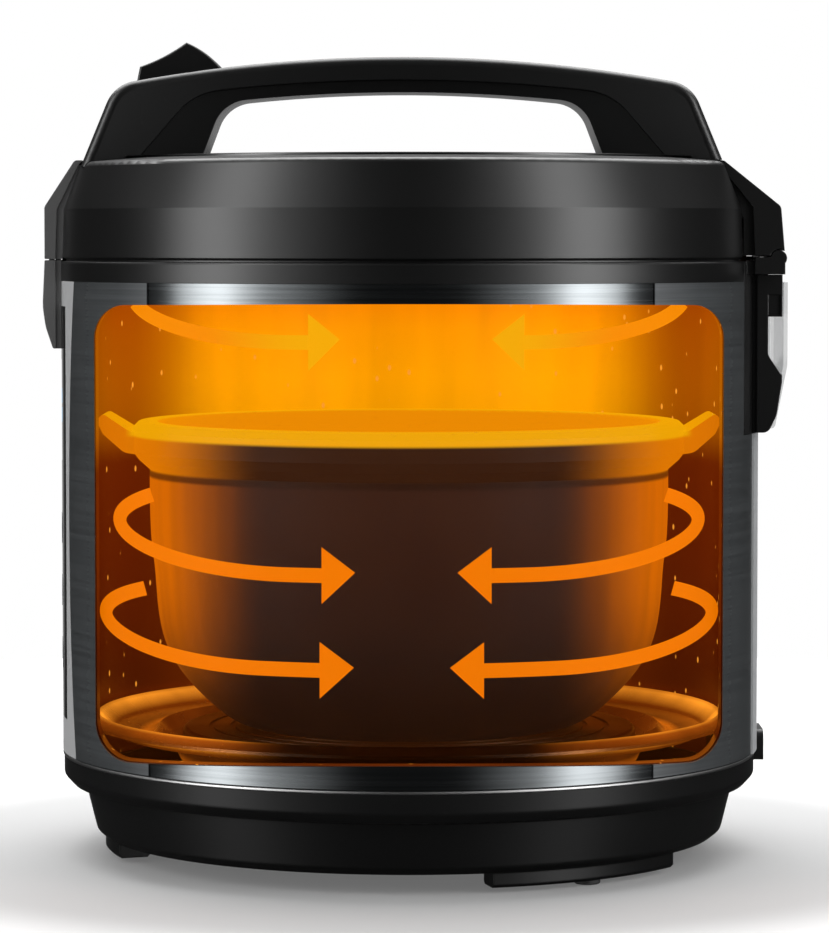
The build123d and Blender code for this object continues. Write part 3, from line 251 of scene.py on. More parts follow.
def effect(name, inputs, outputs):
    """An empty node group with named sockets, as (group, entry, exit)."""
    group = bpy.data.node_groups.new(name, "ShaderNodeTree")
    for label, value in inputs:
        kind = "NodeSocketColor" if isinstance(value, tuple) else "NodeSocketFloat"
        socket = group.interface.new_socket(label, in_out="INPUT", socket_type=kind)
        socket.default_value = value
    for label, kind in outputs:
        group.interface.new_socket(label, in_out="OUTPUT", socket_type=kind)
    return group, add(group, "NodeGroupInput"), add(group, "NodeGroupOutput")


def moulded_grain():
    """Fine grain of moulded plastic: a height, a roughness and a soft tone change."""
    group, entry, leave = effect(
        "moulded_grain", [("Grain Size", 0.0006), ("Roughness", 0.4), ("Spread", 0.08)],
        [("Height", "NodeSocketFloat"), ("Roughness", "NodeSocketFloat"), ("Tone", "NodeSocketFloat")])
    coords, _, _, _ = place_axes(group)
    fine = add(group, "ShaderNodeTexNoise")
    fine.inputs["Detail"].default_value = 2.0
    plug(group, coords, fine.inputs["Vector"])
    plug(group, number(group, "DIVIDE", 1.0, entry.outputs["Grain Size"]), fine.inputs["Scale"])
    broad = noise(group, coords, 9.0, 3.0)
    shift = number(group, "MULTIPLY", number(group, "SUBTRACT", broad, 0.5), entry.outputs["Spread"])
    plug(group, fine.outputs["Fac"], leave.inputs["Height"])
    plug(group, number(group, "ADD", entry.outputs["Roughness"], shift), leave.inputs["Roughness"])
    plug(group, span(group, broad, 0.3, 0.7, 0.85, 1.15), leave.inputs["Tone"])
    return group


def ring_brushing():
    """Brush lines round the vertical axis: a height and a roughness change."""
    group, entry, leave = effect(
        "ring_brushing", [("Line Scale", 900.0), ("Roughness", 0.3), ("Spread", 0.12)],
        [("Height", "NodeSocketFloat"), ("Roughness", "NodeSocketFloat")])
    coords, _, _, _ = place_axes(group)
    mapping = add(group, "ShaderNodeMapping")
    mapping.inputs["Scale"].default_value = (0.012, 0.012, 1.0)
    plug(group, coords, mapping.inputs["Vector"])
    lines = add(group, "ShaderNodeTexNoise")
    lines.inputs["Detail"].default_value = 5.0
    plug(group, mapping.outputs[0], lines.inputs["Vector"])
    plug(group, entry.outputs["Line Scale"], lines.inputs["Scale"])
    shift = number(group, "MULTIPLY", number(group, "SUBTRACT", lines.outputs["Fac"], 0.5),
                   entry.outputs["Spread"])
    plug(group, lines.outputs["Fac"], leave.inputs["Height"])
    plug(group, number(group, "ADD", entry.outputs["Roughness"], shift), leave.inputs["Roughness"])
    return group


def dust_film():
    """Sparse soft specks and a faint film: a mask."""
    group, entry, leave = effect("dust_film", [("Amount", 0.3)], [("Mask", "NodeSocketFloat")])
    coords, _, _, _ = place_axes(group)
    specks = noise(group, coords, 420.0, 2.0)
    film = noise(group, coords, 14.0, 5.0)
    both = number(group, "MULTIPLY", span(group, specks, 0.68, 0.76), span(group, film, 0.4, 0.7))
    plug(group, number(group, "MULTIPLY", both, entry.outputs["Amount"]), leave.inputs["Mask"])
    return group


grain_group = moulded_grain()
brush_group = ring_brushing()
dust_group = dust_film()


def use(tree, group, **values):
    """Places a node group with its own values."""
    made = add(tree, "ShaderNodeGroup", node_tree=group)
    for key, value in values.items():
        made.inputs[key.replace("_", " ")].default_value = value
    return made.outputs


# Materials

def black_moulding(name="black moulding", tone=0.0040, roughness=0.38, grain=0.45 * MM,
                   depth=FINE_RELIEF, edge=0.5 * MM, gloss=0.48):
    """Satin black moulded plastic with a fine grain and softly rounded edges."""
    material, tree, bsdf = shader(name)
    effect_out = use(tree, grain_group, Grain_Size=grain, Roughness=roughness, Spread=0.08)
    dust = use(tree, dust_group, Amount=0.12)
    base = blend_colours(tree, effect_out["Tone"], (tone * 0.7,) * 3, (tone,) * 3)
    plug(tree, blend_colours(tree, dust["Mask"], base, (0.06, 0.06, 0.06)), bsdf.inputs["Base Color"])
    plug(tree, effect_out["Roughness"], bsdf.inputs["Roughness"])
    bsdf.inputs["Specular IOR Level"].default_value = gloss
    bump(tree, bsdf, effect_out["Height"], depth, edge=edge)
    return material


def line_at(tree, value, place):
    """A thin dark line where a value passes a place: 0 on the line and 1 beside it."""
    gap = number(tree, "ABSOLUTE", number(tree, "SUBTRACT", value, place))
    return span(tree, gap, 0.25 * MM, 0.60 * MM)


# How much of the wall's metal the satin coat hides, and how much rougher it is
SATIN_COVER = 0.65
SATIN_ROUGHNESS = 0.16


def dark_steel():
    """Dark brushed steel: bright lines near the window, a satin coat towards the front and the rear, and
    painted shade that darkens the satin towards the sides.
    """
    material, tree, bsdf = shader("dark steel")
    _, x, y, _ = place_axes(tree)
    brush = use(tree, brush_group, Line_Scale=900.0, Roughness=0.26, Spread=0.16)
    front = number(tree, "LESS_THAN", x, front_seam)
    rear = number(tree, "GREATER_THAN", x, rear_seam)
    far = number(tree, "GREATER_THAN", y, 0.0)
    satin = number(tree, "MAXIMUM", number(tree, "MAXIMUM", front, rear), far)
    # Painted shade: the satin is lighter towards the middle and darker towards the sides.
    away = span_flat(tree, number(tree, "ABSOLUTE", x), rear_seam, body_radius - 1.0 * MM)
    shade = ramp(tree, away, [(0.0, (0.220, 0.230, 0.238)), (0.4, (0.112, 0.120, 0.125)),
                              (1.0, (0.056, 0.060, 0.062))])
    colour = blend_colours(tree, satin, (0.145, 0.155, 0.160), shade)
    grain = span(tree, brush["Height"], 0.30, 0.70, 0.84, 1.14)
    colour = blend_colours(tree, 1.0, colour, grey(tree, grain), "MULTIPLY")
    seam = number(tree, "MINIMUM", line_at(tree, x, front_seam), line_at(tree, x, rear_seam))
    plug(tree, blend_colours(tree, seam, (0.012, 0.013, 0.014), colour), bsdf.inputs["Base Color"])
    hidden = number(tree, "MULTIPLY", satin, SATIN_COVER)
    plug(tree, number(tree, "SUBTRACT", 1.0, hidden), bsdf.inputs["Metallic"])
    rough = number(tree, "ADD", brush["Roughness"], number(tree, "MULTIPLY", satin, SATIN_ROUGHNESS))
    plug(tree, rough, bsdf.inputs["Roughness"])
    brushed_gloss(tree, bsdf)
    bump(tree, bsdf, brush["Height"], FINE_RELIEF, 0.5)
    return material


def brushed_gloss(tree, bsdf):
    """Gloss that brush lines round the vertical axis spread up and down."""
    lines = add(tree, "ShaderNodeTangent", direction_type="RADIAL", axis="Z")
    plug(tree, lines.outputs[0], bsdf.inputs["Tangent"])
    bsdf.inputs["Specular Tint"].default_value = (0.12, 0.12, 0.12, 1.0)
    bsdf.inputs["Anisotropic"].default_value = 0.75
    bsdf.inputs["Anisotropic Rotation"].default_value = 0.25


def lid_steel():
    """Dark brushed disc on the lid, with a lighter turned edge whose brightness is a painted highlight."""
    material, tree, bsdf = shader("lid steel")
    _, radius, _, _, _ = shape_axes(tree)
    brush = use(tree, brush_group, Line_Scale=900.0, Roughness=0.30, Spread=0.12)
    # Painted highlight: the outermost half millimetre of the disc is made lighter.
    bright = span(tree, radius, plate_edge - 0.8 * MM, plate_edge - 0.3 * MM)
    colour = blend_colours(tree, bright, (0.030, 0.031, 0.032), (0.07, 0.07, 0.07))
    plug(tree, colour, bsdf.inputs["Base Color"])
    bsdf.inputs["Metallic"].default_value = 1.0
    plug(tree, brush["Roughness"], bsdf.inputs["Roughness"])
    brushed_gloss(tree, bsdf)
    bump(tree, bsdf, brush["Height"], FINE_RELIEF, 0.4)
    return material


def light_steel():
    """Light brushed steel."""
    material, tree, bsdf = shader("light steel")
    brush = use(tree, brush_group, Line_Scale=700.0, Roughness=0.28, Spread=0.15)
    bsdf.inputs["Base Color"].default_value = (0.60, 0.60, 0.60, 1.0)
    bsdf.inputs["Metallic"].default_value = 1.0
    plug(tree, brush["Roughness"], bsdf.inputs["Roughness"])
    bump(tree, bsdf, brush["Height"], FINE_RELIEF, 0.4)
    return material


def grained(name, dark, light, metallic, roughness, spread=0.06, grain=0.6 * MM, depth=0.01 * MM):
    """A satin finish with a fine grain, between a dark and a light tone."""
    material, tree, bsdf = shader(name)
    effect_out = use(tree, grain_group, Grain_Size=grain, Roughness=roughness, Spread=spread)
    plug(tree, blend_colours(tree, effect_out["Tone"], dark, light), bsdf.inputs["Base Color"])
    bsdf.inputs["Metallic"].default_value = metallic
    plug(tree, effect_out["Roughness"], bsdf.inputs["Roughness"])
    bump(tree, bsdf, effect_out["Height"], depth)
    return material


def panel_silver():
    """Silver-grey satin coat of the control panel's frame."""
    return grained("panel silver", (0.48, 0.485, 0.49), (0.56, 0.565, 0.57), 0.2, 0.42, grain=0.5 * MM)


def panel_grey():
    """Light grey moulded plastic of the rear panel."""
    return grained("panel grey", (0.38, 0.39, 0.40), (0.46, 0.47, 0.48), 0.0, 0.45, depth=FINE_RELIEF)


def plain(name, colour, metallic, roughness):
    """A small part's finish: one colour with a fine grain."""
    return grained(name, tuple(value * 0.8 for value in colour), colour, metallic, roughness, 0.1)


def droplets(tree, coords, size, share):
    """Small round beads of water: a mask."""
    mapping = add(tree, "ShaderNodeMapping")
    mapping.inputs["Scale"].default_value = (1.0, 1.0, 0.6)
    plug(tree, coords, mapping.inputs["Vector"])
    cells = add(tree, "ShaderNodeTexVoronoi")
    cells.inputs["Scale"].default_value = 1.0 / size
    plug(tree, mapping.outputs[0], cells.inputs["Vector"])
    chance = add(tree, "ShaderNodeSeparateColor")
    plug(tree, cells.outputs["Color"], chance.inputs[0])
    bead = span(tree, cells.outputs["Distance"], 0.10, 0.20, 1.0, 0.0)
    return number(tree, "MULTIPLY", bead, number(tree, "LESS_THAN", chance.outputs[0], share))


def glowing_liner(name="glowing liner", both_sides=False):
    """Liner with painted light: yellow-orange above the pot, deep amber beside it, brighter in the middle
    and darker towards the corners, with beads of water that carry painted glints.
    """
    material, tree, bsdf = shader(name)
    coords, _, side, z, _ = shape_axes(tree)
    # Painted light: the liner's glow by height stands in for the chamber's light.
    high = ramp(tree, span_flat(tree, z, liner_low[2], liner_high[2]),
                [(0.0, (0.06, 0.008, 0.0005)), (0.25, (0.17, 0.024, 0.001)), (0.60, (0.24, 0.034, 0.001)),
                 (0.67, (0.90, 0.34, 0.0)), (0.76, (1.0, 0.36, 0.0)), (0.86, (1.0, 0.32, 0.0)),
                 (0.93, (0.94, 0.24, 0.0)), (1.0, (0.84, 0.17, 0.0))])
    # Painted light: brighter in the middle, dimmer towards the sides.
    middle = span(tree, side, 70.0 * MM, 128.0 * MM, 1.0, 0.38)
    streaks = noise(tree, coords, 26.0, 4.0, (1.0, 1.0, 0.12))
    level = number(tree, "MULTIPLY", middle, span(tree, streaks, 0.25, 0.75, 0.80, 1.12))
    wall = blend_colours(tree, 1.0, high, grey(tree, level), "MULTIPLY")
    # Painted shade towards the corners.
    painted_corner_shade = span(tree, side, 90.0 * MM, 125.0 * MM)
    wall = blend_colours(tree, painted_corner_shade, wall, (0.62, 0.40, 0.60), "MULTIPLY")
    # Beads of water; their bright colour is a painted glint.
    beads = droplets(tree, coords, 5.0 * MM, 0.30)
    glow = blend_colours(tree, beads, wall, (0.90, 0.33, 0.03))
    if not both_sides:
        glow = blend_colours(tree, span(tree, outward(tree, coords), 0.2, 0.5), glow, (0.0, 0.0, 0.0))
    plug(tree, glow, bsdf.inputs["Emission Color"])
    bsdf.inputs["Emission Strength"].default_value = 1.05
    bsdf.inputs["Base Color"].default_value = (0.16, 0.045, 0.006, 1.0)
    bsdf.inputs["Metallic"].default_value = 0.7
    bsdf.inputs["Roughness"].default_value = 0.34
    bump(tree, bsdf, beads, 0.4 * MM)
    return material


def reflector():
    """Polished pressed dish with painted warm light: darker between its rings, painted highlights along
    their crests, and lighter towards the sides.
    """
    material, tree, bsdf = shader("reflector")
    coords, radius, side, _, _ = shape_axes(tree)
    stain = noise(tree, coords, 22.0, 5.0)
    flank = span(tree, side, 45.0 * MM, 92.0 * MM)
    # Painted light: the metal is darker in the middle and lighter towards the sides.
    colour = blend_colours(tree, flank, (0.030, 0.016, 0.010), (0.17, 0.065, 0.018))
    plug(tree, colour, bsdf.inputs["Base Color"])
    bsdf.inputs["Metallic"].default_value = 1.0
    plug(tree, span(tree, stain, 0.2, 0.8, 0.16, 0.32), bsdf.inputs["Roughness"])
    # Painted highlights along the rings.
    crest_highlight = ramp(tree, span_flat(tree, radius, 60.0 * MM, 136.0 * MM),
                 [(0.0, (0.010, 0.004, 0.002)), (0.38, (0.04, 0.010, 0.001)), (0.45, (0.52, 0.12, 0.004)),
                  (0.50, (0.07, 0.014, 0.001)), (0.60, (0.09, 0.018, 0.001)), (0.66, (0.42, 0.09, 0.003)),
                  (0.71, (0.06, 0.012, 0.001)), (0.84, (0.12, 0.024, 0.001)), (0.905, (0.95, 0.31, 0.02)),
                  (0.94, (0.26, 0.055, 0.003)), (1.0, (0.08, 0.016, 0.001))])
    cloud = span(tree, noise(tree, coords, 16.0, 3.0), 0.30, 0.72, 0.45, 1.1)
    patches = number(tree, "MULTIPLY", flank, cloud)
    glow = blend_colours(tree, 1.0, crest_highlight, grey(tree, patches), "MULTIPLY")
    plug(tree, glow, bsdf.inputs["Emission Color"])
    bsdf.inputs["Emission Strength"].default_value = 1.4
    return material


def heating_plate():
    """Pressed aluminium plate with a warm tint and a faint painted warm glow."""
    material, tree, bsdf = shader("heating plate")
    coords, _, _, _ = place_axes(tree)
    stain = noise(tree, coords, 22.0, 5.0)
    colour = blend_colours(tree, span(tree, stain, 0.3, 0.75), (0.30, 0.20, 0.13), (0.18, 0.10, 0.0546))
    plug(tree, colour, bsdf.inputs["Base Color"])
    bsdf.inputs["Metallic"].default_value = 1.0
    plug(tree, span(tree, stain, 0.2, 0.8, 0.25, 0.40), bsdf.inputs["Roughness"])
    # Painted light: a faint warm glow.
    bsdf.inputs["Emission Color"].default_value = (1.0, 0.22, 0.01, 1.0)
    bsdf.inputs["Emission Strength"].default_value = 0.01
    return material


def pot_outside(tree, coords, side, z, up):
    """Painted light on the pot's outside: a dark belly with orange flanks, darker towards the bottom, a
    collar lit at its sides with a painted shadow under it, lit ears, lit upper faces and a painted
    highlight along the rim.
    """
    streaks = noise(tree, coords, 60.0, 3.0, (1.0, 1.0, 0.05))
    # Painted light: the orange on the flanks, weaker towards the bottom.
    flank = number(tree, "POWER", span(tree, side, 55.0 * MM, 108.0 * MM), 1.3)
    low = span(tree, z, pot_low[2], pot_low[2] + 70.0 * MM, 0.10, 1.0)
    heat = number(tree, "MULTIPLY", flank, low)
    heat = number(tree, "MULTIPLY", heat, span(tree, streaks, 0.3, 0.7, 0.85, 1.1))
    # Painted shade: the belly is darkest at the bottom.
    dim = ramp(tree, span_flat(tree, z, pot_low[2], pot_rim),
               [(0.0, (0.004, 0.003, 0.002)), (0.30, (0.007, 0.0045, 0.004)), (0.58, (0.022, 0.008, 0.005)),
                (0.92, (0.034, 0.011, 0.006))])
    skin = blend_colours(tree, heat, dim, (0.80, 0.165, 0.001))
    collar_low = pot_rim - 17.5 * MM
    collar = span(tree, z, collar_low, collar_low + 1.5 * MM)
    # Painted light on the collar, orange at its sides.
    band = blend_colours(tree, flank, (0.030, 0.009, 0.003), (0.86, 0.22, 0.001))
    skin = blend_colours(tree, collar, skin, band)
    # Painted shadow under the collar.
    gap = number(tree, "ABSOLUTE", number(tree, "SUBTRACT", z, collar_low))
    shadow = span(tree, gap, 0.6 * MM, 2.2 * MM, 0.75, 0.0)
    skin = blend_colours(tree, shadow, skin, (0.012, 0.004, 0.002))
    # Painted light on the ears.
    ear = number(tree, "MULTIPLY", span(tree, side, 114.5 * MM, 117.5 * MM),
                 span(tree, z, pot_rim - 16.0 * MM, pot_rim - 12.0 * MM))
    skin = blend_colours(tree, ear, skin, (0.88, 0.22, 0.001))
    # Painted light on the faces by the rim that look up.
    top = number(tree, "MULTIPLY", span(tree, up, 0.15, 0.60),
                 span(tree, z, pot_rim - 10.0 * MM, pot_rim - 6.0 * MM))
    skin = blend_colours(tree, top, skin, (1.0, 0.40, 0.001))
    # Painted highlight along the top of the rim.
    crest_highlight = number(tree, "MULTIPLY", span(tree, z, pot_rim - 2.4 * MM, pot_rim - 0.8 * MM),
                   span(tree, side, 114.0 * MM, 118.0 * MM, 1.0, 0.0))
    return blend_colours(tree, crest_highlight, skin, (1.0, 0.44, 0.002))


def pot_inside(tree, coords, radius, z, up):
    """Painted light on the pot's inside: painted shade deep down and brighter towards the rim, with the
    foot of the wall lighter than the floor, and a mask of where the inside is.
    """
    bore = number(tree, "MULTIPLY", span(tree, radius, pot_bore + 1.0 * MM, pot_bore + 3.0 * MM, 1.0, 0.0),
                  span(tree, z, pot_low[2] + 4.0 * MM, pot_low[2] + 6.5 * MM))
    inward = number(tree, "MAXIMUM", span(tree, up, 0.2, 0.6),
                    span(tree, outward(tree, coords), -0.3, -0.1, 1.0, 0.0))
    depth = ramp(tree, span_flat(tree, z, pot_low[2], pot_rim),
                 [(0.0, (0.20, 0.035, 0.001)), (0.12, (0.30, 0.055, 0.001)), (0.55, (0.55, 0.12, 0.001)),
                  (0.88, (0.97, 0.30, 0.001))])
    wall = number(tree, "MULTIPLY", span(tree, radius, 45.0 * MM, 85.0 * MM),
                  span(tree, z, pot_low[2] + 12.0 * MM, pot_low[2] + 4.0 * MM, 1.0, 0.0))
    glow = blend_colours(tree, wall, (0.42, 0.085, 0.001), depth)
    return glow, number(tree, "MULTIPLY", bore, inward)


def pot_glaze():
    """Dark brown glaze with painted light: orange at its sides and yellow along the rim and on the ears."""
    material, tree, bsdf = shader("pot glaze")
    coords, radius, side, z, up = shape_axes(tree)
    mottle = noise(tree, coords, 34.0, 6.0)
    tone = span(tree, mottle, 0.3, 0.7)
    colour = blend_colours(tree, tone, (0.011, 0.006, 0.0045), (0.018, 0.0095, 0.006))
    plug(tree, colour, bsdf.inputs["Base Color"])
    inside_glow, inside = pot_inside(tree, coords, radius, z, up)
    skin = pot_outside(tree, coords, side, z, up)
    # Painted light on the inside and the outside of the pot.
    plug(tree, blend_colours(tree, inside, skin, inside_glow), bsdf.inputs["Emission Color"])
    bsdf.inputs["Emission Strength"].default_value = 0.92
    bsdf.inputs["Roughness"].default_value = 0.50
    bsdf.inputs["Specular IOR Level"].default_value = 0.05
    bump(tree, bsdf, mottle, 0.1 * MM, 0.3)
    return material


def cover_at_slant(tree, power, amount=0.55):
    """How much more a clear face covers where it is seen at a slant."""
    slant = add(tree, "ShaderNodeLayerWeight")
    slant.inputs["Blend"].default_value = 0.5
    return number(tree, "MULTIPLY", number(tree, "POWER", slant.outputs["Facing"], power), amount)


def amber_pane():
    """Amber heat-proof glass with a low-reflection face."""
    material, tree, bsdf = shader("amber pane")
    _, _, _, z = place_axes(tree)
    shade = span(tree, z, pane_low[2], pane_high[2], 0.07, 0.04)
    plug(tree, number(tree, "ADD", shade, cover_at_slant(tree, 4.0)), bsdf.inputs["Alpha"])
    bsdf.inputs["Base Color"].default_value = (0.16, 0.036, 0.002, 1.0)
    bsdf.inputs["Roughness"].default_value = 0.12
    bsdf.inputs["Specular IOR Level"].default_value = 0.02
    return material


def clear_cup():
    """Clear moulded cup."""
    material, tree, bsdf = shader("clear cup")
    coords, _, _, _ = place_axes(tree)
    cloud = noise(tree, coords, 40.0, 3.0)
    colour = blend_colours(tree, cloud, (0.50, 0.53, 0.55), (0.60, 0.62, 0.64))
    plug(tree, colour, bsdf.inputs["Base Color"])
    bsdf.inputs["Roughness"].default_value = 0.08
    plug(tree, number(tree, "ADD", 0.07, cover_at_slant(tree, 3.0)), bsdf.inputs["Alpha"])
    return material


def heat_print(name, colour, tail):
    """Print of the heat arrows, with painted light for the chamber's light through it; the tails may have
    their own colour.
    """
    material, tree, bsdf = shader(name)
    coords, x, _, _ = place_axes(tree)
    cloud = noise(tree, coords, 30.0, 2.0)
    dim = tuple(value * 0.93 for value in colour)
    ink = blend_colours(tree, cloud, dim, colour)
    far = span(tree, number(tree, "ABSOLUTE", x), 40.0 * MM, 85.0 * MM)
    plug(tree, blend_colours(tree, far, ink, tail), bsdf.inputs["Emission Color"])
    bsdf.inputs["Emission Strength"].default_value = 0.97
    bsdf.inputs["Base Color"].default_value = tuple(value * 0.10 for value in colour) + (1.0,)
    bsdf.inputs["Roughness"].default_value = 0.6
    bsdf.inputs["Specular IOR Level"].default_value = 0.05
    return material


def dress(material, *names):
    """Gives CAD nodes a material."""
    for name in names:
        mesh = nodes[name].data
        mesh.materials.clear()
        mesh.materials.append(material)


def dress_all():
    """Every CAD node's finish."""
    black = black_moulding()
    dress(black_moulding("base black", 0.0080, 0.36, edge=1.0 * MM, gloss=0.14),
          "base_housing", "bottom_cover")
    # The straps use a lighter copy of the black moulding: painted light where they face the side light.
    dress(black_moulding("strap black with painted light", 0.150, 0.42), "front_catch_cover", "lid_front_cover")
    dress(black_moulding("lid black", 0.0040, 0.33), "lid_shell", "top_ring")
    dress(black, "rear_frame", "collector_holder", "lid_hinge_cover", "lid_inner_frame",
          "vent_tube", "inner_lid_knob", "release_rod", "latch_hook", "power_inlet")
    dress(black_moulding("handle black", 0.0050, 0.34), "handle_arch", "release_slider")
    dress(black_moulding("liner black", 0.0045, 0.28), "handle_liner")
    dress(black_moulding("gloss black", 0.0045, 0.10, 1.2 * MM, 0.003 * MM), "front_fascia", "steam_vent")
    dress(dark_steel(), "side_wall_window", "side_wall_far")
    dress(lid_steel(), "lid_top_plate")
    dress(light_steel(), "inner_lid", "sensor_guide", "sensor_plunger")
    dress(panel_silver(), "front_panel")
    dress(panel_grey(), "rear_panel")
    dress(glowing_liner(), "chamber_liner")
    dress(glowing_liner("glowing frame", True), "window_frame")
    dress(reflector(), "reflector_dish")
    dress(heating_plate(), "heater_plate")
    dress(pot_glaze(), "pot")
    dress(amber_pane(), "window_pane")
    dress(clear_cup(), "collector_cup")
    dress(plain("seal rubber", (0.02, 0.02, 0.02), 0.0, 0.7), "window_seal", "foot_pads")
    dress(plain("gasket silicone", (0.45, 0.45, 0.43), 0.0, 0.6), "lid_gasket")
    dress(plain("bright steel", (0.62, 0.62, 0.62), 1.0, 0.22), "hinge_pin", "hinge_spring",
          "sensor_spring", "latch_pin", "lid_screws", "bottom_screws", "catch_striker")
    dress(plain("heater steel", (0.30, 0.25, 0.22), 1.0, 0.35), "heating_element", "side_heater_band",
          "lid_heater", "thermal_fuse")
    dress(plain("circuit board", (0.02, 0.10, 0.04), 0.0, 0.4), "power_board", "control_board")
    dress(plain("display", (0.012, 0.016, 0.022), 0.0, 0.08), "display_window", "display_module")
    dress(plain("brass pins", (0.70, 0.50, 0.22), 1.0, 0.25), "inlet_pins")
    keys = plain("soft keys", (0.030, 0.030, 0.032), 0.0, 0.5)
    for name in nodes:
        if name.startswith("button_"):
            dress(keys, name)


# Heat arrows printed inside the pane

ARROW_WIDTH = 5.7 * MM
ARROW_HEAD = 22.0 * MM
ARROW_SWEEP = 0.3 * MM
HEAD_RISE = 1.3 * MM
PRINT_THICKNESS = 0.12 * MM
ARC_STEPS = 36
RUN_STEPS = 6
HEAD_STEPS = 8


def arrow_columns(centre, reach, height, drop, start, base, tip):
    """Middle line and width of a ring-shaped arrow: an arc, a straight run and a pointed head."""
    side = 1.0 if centre > 0 else -1.0
    columns = []
    for step in range(ARC_STEPS + 1):
        angle = math.radians(start + (90.0 - start) * step / ARC_STEPS)
        x = centre + side * reach * math.cos(angle)
        columns.append((x, height - drop * math.sin(angle), ARROW_WIDTH))
    low = height - drop
    for step in range(1, RUN_STEPS + 1):
        columns.append((centre + (base - centre) * step / RUN_STEPS, low, ARROW_WIDTH))
    for step in range(HEAD_STEPS + 1):
        share = step / HEAD_STEPS
        x = base + side * ARROW_SWEEP * (1.0 - share) + (tip - base) * share
        columns.append((x, low + HEAD_RISE * share, ARROW_HEAD * (1.0 - share)))
    return columns


def heat_arrow(name, material, radius, columns):
    """One arrow: a strip of faces along its columns, wrapped on the pane's inner face."""
    bpy.ops.object.select_all(action="DESELECT")
    bpy.ops.mesh.primitive_grid_add(x_subdivisions=len(columns) - 1, y_subdivisions=1, size=2.0)
    arrow = bpy.context.object
    arrow.name = name
    last = len(columns) - 1
    for vertex in arrow.data.vertices:
        place = round((vertex.co.x + 1.0) / 2.0 * last)
        x, z, width = columns[place]
        before = columns[max(0, place - 1)]
        after = columns[min(last, place + 1)]
        along = Vector((after[0] - before[0], after[1] - before[1])).normalized()
        if width > ARROW_WIDTH or place >= last - HEAD_STEPS:
            along = Vector((math.copysign(1.0, along.x), 0.0))
        shift = math.copysign(width / 2, vertex.co.y)
        x -= along.y * shift
        z += along.x * shift
        vertex.co = (x, -math.sqrt(radius * radius - x * x), z)
    bpy.ops.object.mode_set(mode="EDIT")
    bpy.ops.mesh.select_all(action="SELECT")
    bpy.ops.mesh.remove_doubles(threshold=0.00001)
    bpy.ops.mesh.normals_make_consistent(inside=False)
    bpy.ops.object.mode_set(mode="OBJECT")
    solid = arrow.modifiers.new("print thickness", "SOLIDIFY")
    solid.thickness = PRINT_THICKNESS
    bpy.ops.object.modifier_apply(modifier=solid.name)
    arrow.data.materials.append(material)
    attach(arrow, body_of("window_pane"))


def heat_arrows():
    """Three pairs of heat arrows that circle the pot."""
    amber = heat_print("arrow orange", (1.0, 0.215, 0.0), (1.0, 0.215, 0.0))
    yellow = heat_print("arrow yellow", (1.0, 0.44, 0.002), (1.0, 0.27, 0.0))
    radius = pane_inner - 0.2 * MM
    # Label, print, height of the arc's centre, its offset and reach, its drop and start angle, and the
    # head's base and tip on the left and on the right, in millimetres and degrees
    rows = [("upper", yellow, 234.0, 46.0, 63.5, 18.0, 11.0, (38.6, 26.6), (44.3, 32.0)),
            ("middle", amber, 144.0, 46.4, 69.3, 18.0, -37.0, (33.5, 20.8), (31.6, 18.7)),
            ("lower", amber, 106.0, 57.6, 64.5, 16.8, -43.0, (34.3, 21.3), (28.7, 15.8))]
    for label, material, height, centre, reach, drop, start, left, right in rows:
        for side, (base, tip) in ((-1.0, left), (1.0, right)):
            columns = arrow_columns(side * centre * MM, reach * MM, height * MM, drop * MM, start,
                                    side * base * MM, side * tip * MM)
            heat_arrow(f"heat_arrow_{label}_{'left' if side < 0 else 'right'}", material, radius, columns)


# Trim ring under the steel wall

RING_WIRE = 1.1 * MM
RING_DROP = 1.2 * MM
RING_FLATTENING = 0.85


def base_trim_ring():
    """Polished wire ring between the steel wall and the base."""
    ring_height = wall_low - RING_DROP
    bpy.ops.object.select_all(action="DESELECT")
    bpy.ops.mesh.primitive_torus_add(major_segments=144, minor_segments=10,
                                     major_radius=body_radius - RING_WIRE, minor_radius=RING_WIRE,
                                     location=(0.0, 0.0, ring_height))
    ring = bpy.context.object
    ring.name = "base_trim_ring"
    bpy.ops.object.transform_apply(location=True, rotation=True, scale=True)
    bpy.ops.object.mode_set(mode="EDIT")
    bpy.ops.mesh.select_all(action="SELECT")
    bpy.ops.transform.resize(value=(1.0, 1.0, RING_FLATTENING), center_override=(0.0, 0.0, ring_height))
    bpy.ops.object.mode_set(mode="OBJECT")
    bpy.ops.object.shade_smooth()
    ring.data.materials.append(plain("trim steel", (0.38, 0.38, 0.38), 1.0, 0.35))
    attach(ring, body_of("base_housing"))


# Marks on the control panel

MARK_THICKNESS = 0.06 * MM
KEY_RISE = 0.13 * MM
RING_RISE = 0.01 * MM
DISPLAY_RISE = 0.02 * MM
RING_SIDES = 40

# Each bar of a digit: its place across and up, in half widths and half heights, and its direction
SEGMENTS = {"top": (0.0, 1.0, "flat"), "middle": (0.0, 0.0, "flat"), "bottom": (0.0, -1.0, "flat"),
            "upper left": (-1.0, 0.5, "tall"), "upper right": (1.0, 0.5, "tall"),
            "lower left": (-1.0, -0.5, "tall"), "lower right": (1.0, -0.5, "tall")}
DIGITS = {"0": ("top", "bottom", "upper left", "upper right", "lower left", "lower right"),
          "3": ("top", "middle", "bottom", "upper right", "lower right")}


def add_bar(across, up, width, height):
    """Adds one bar in edit mode."""
    bpy.ops.mesh.primitive_plane_add(size=1.0, location=(across, up, 0.0))
    bpy.ops.transform.resize(value=(width, height, 1.0), center_override=(across, up, 0.0))


def add_triangle(across, up, radius):
    """Adds a triangle that points to the right in edit mode."""
    bpy.ops.mesh.primitive_circle_add(vertices=3, radius=radius, fill_type="NGON",
                                      location=(across, up, 0.0), rotation=(0.0, 0.0, math.radians(-90.0)))


def add_ring(across, up, radius, width):
    """Adds a ring in edit mode."""
    bpy.ops.mesh.primitive_circle_add(vertices=RING_SIDES, radius=radius, fill_type="NGON",
                                      location=(across, up, 0.0))
    bpy.ops.mesh.inset(thickness=width * math.cos(math.pi / RING_SIDES))
    bpy.ops.mesh.delete(type="FACE")


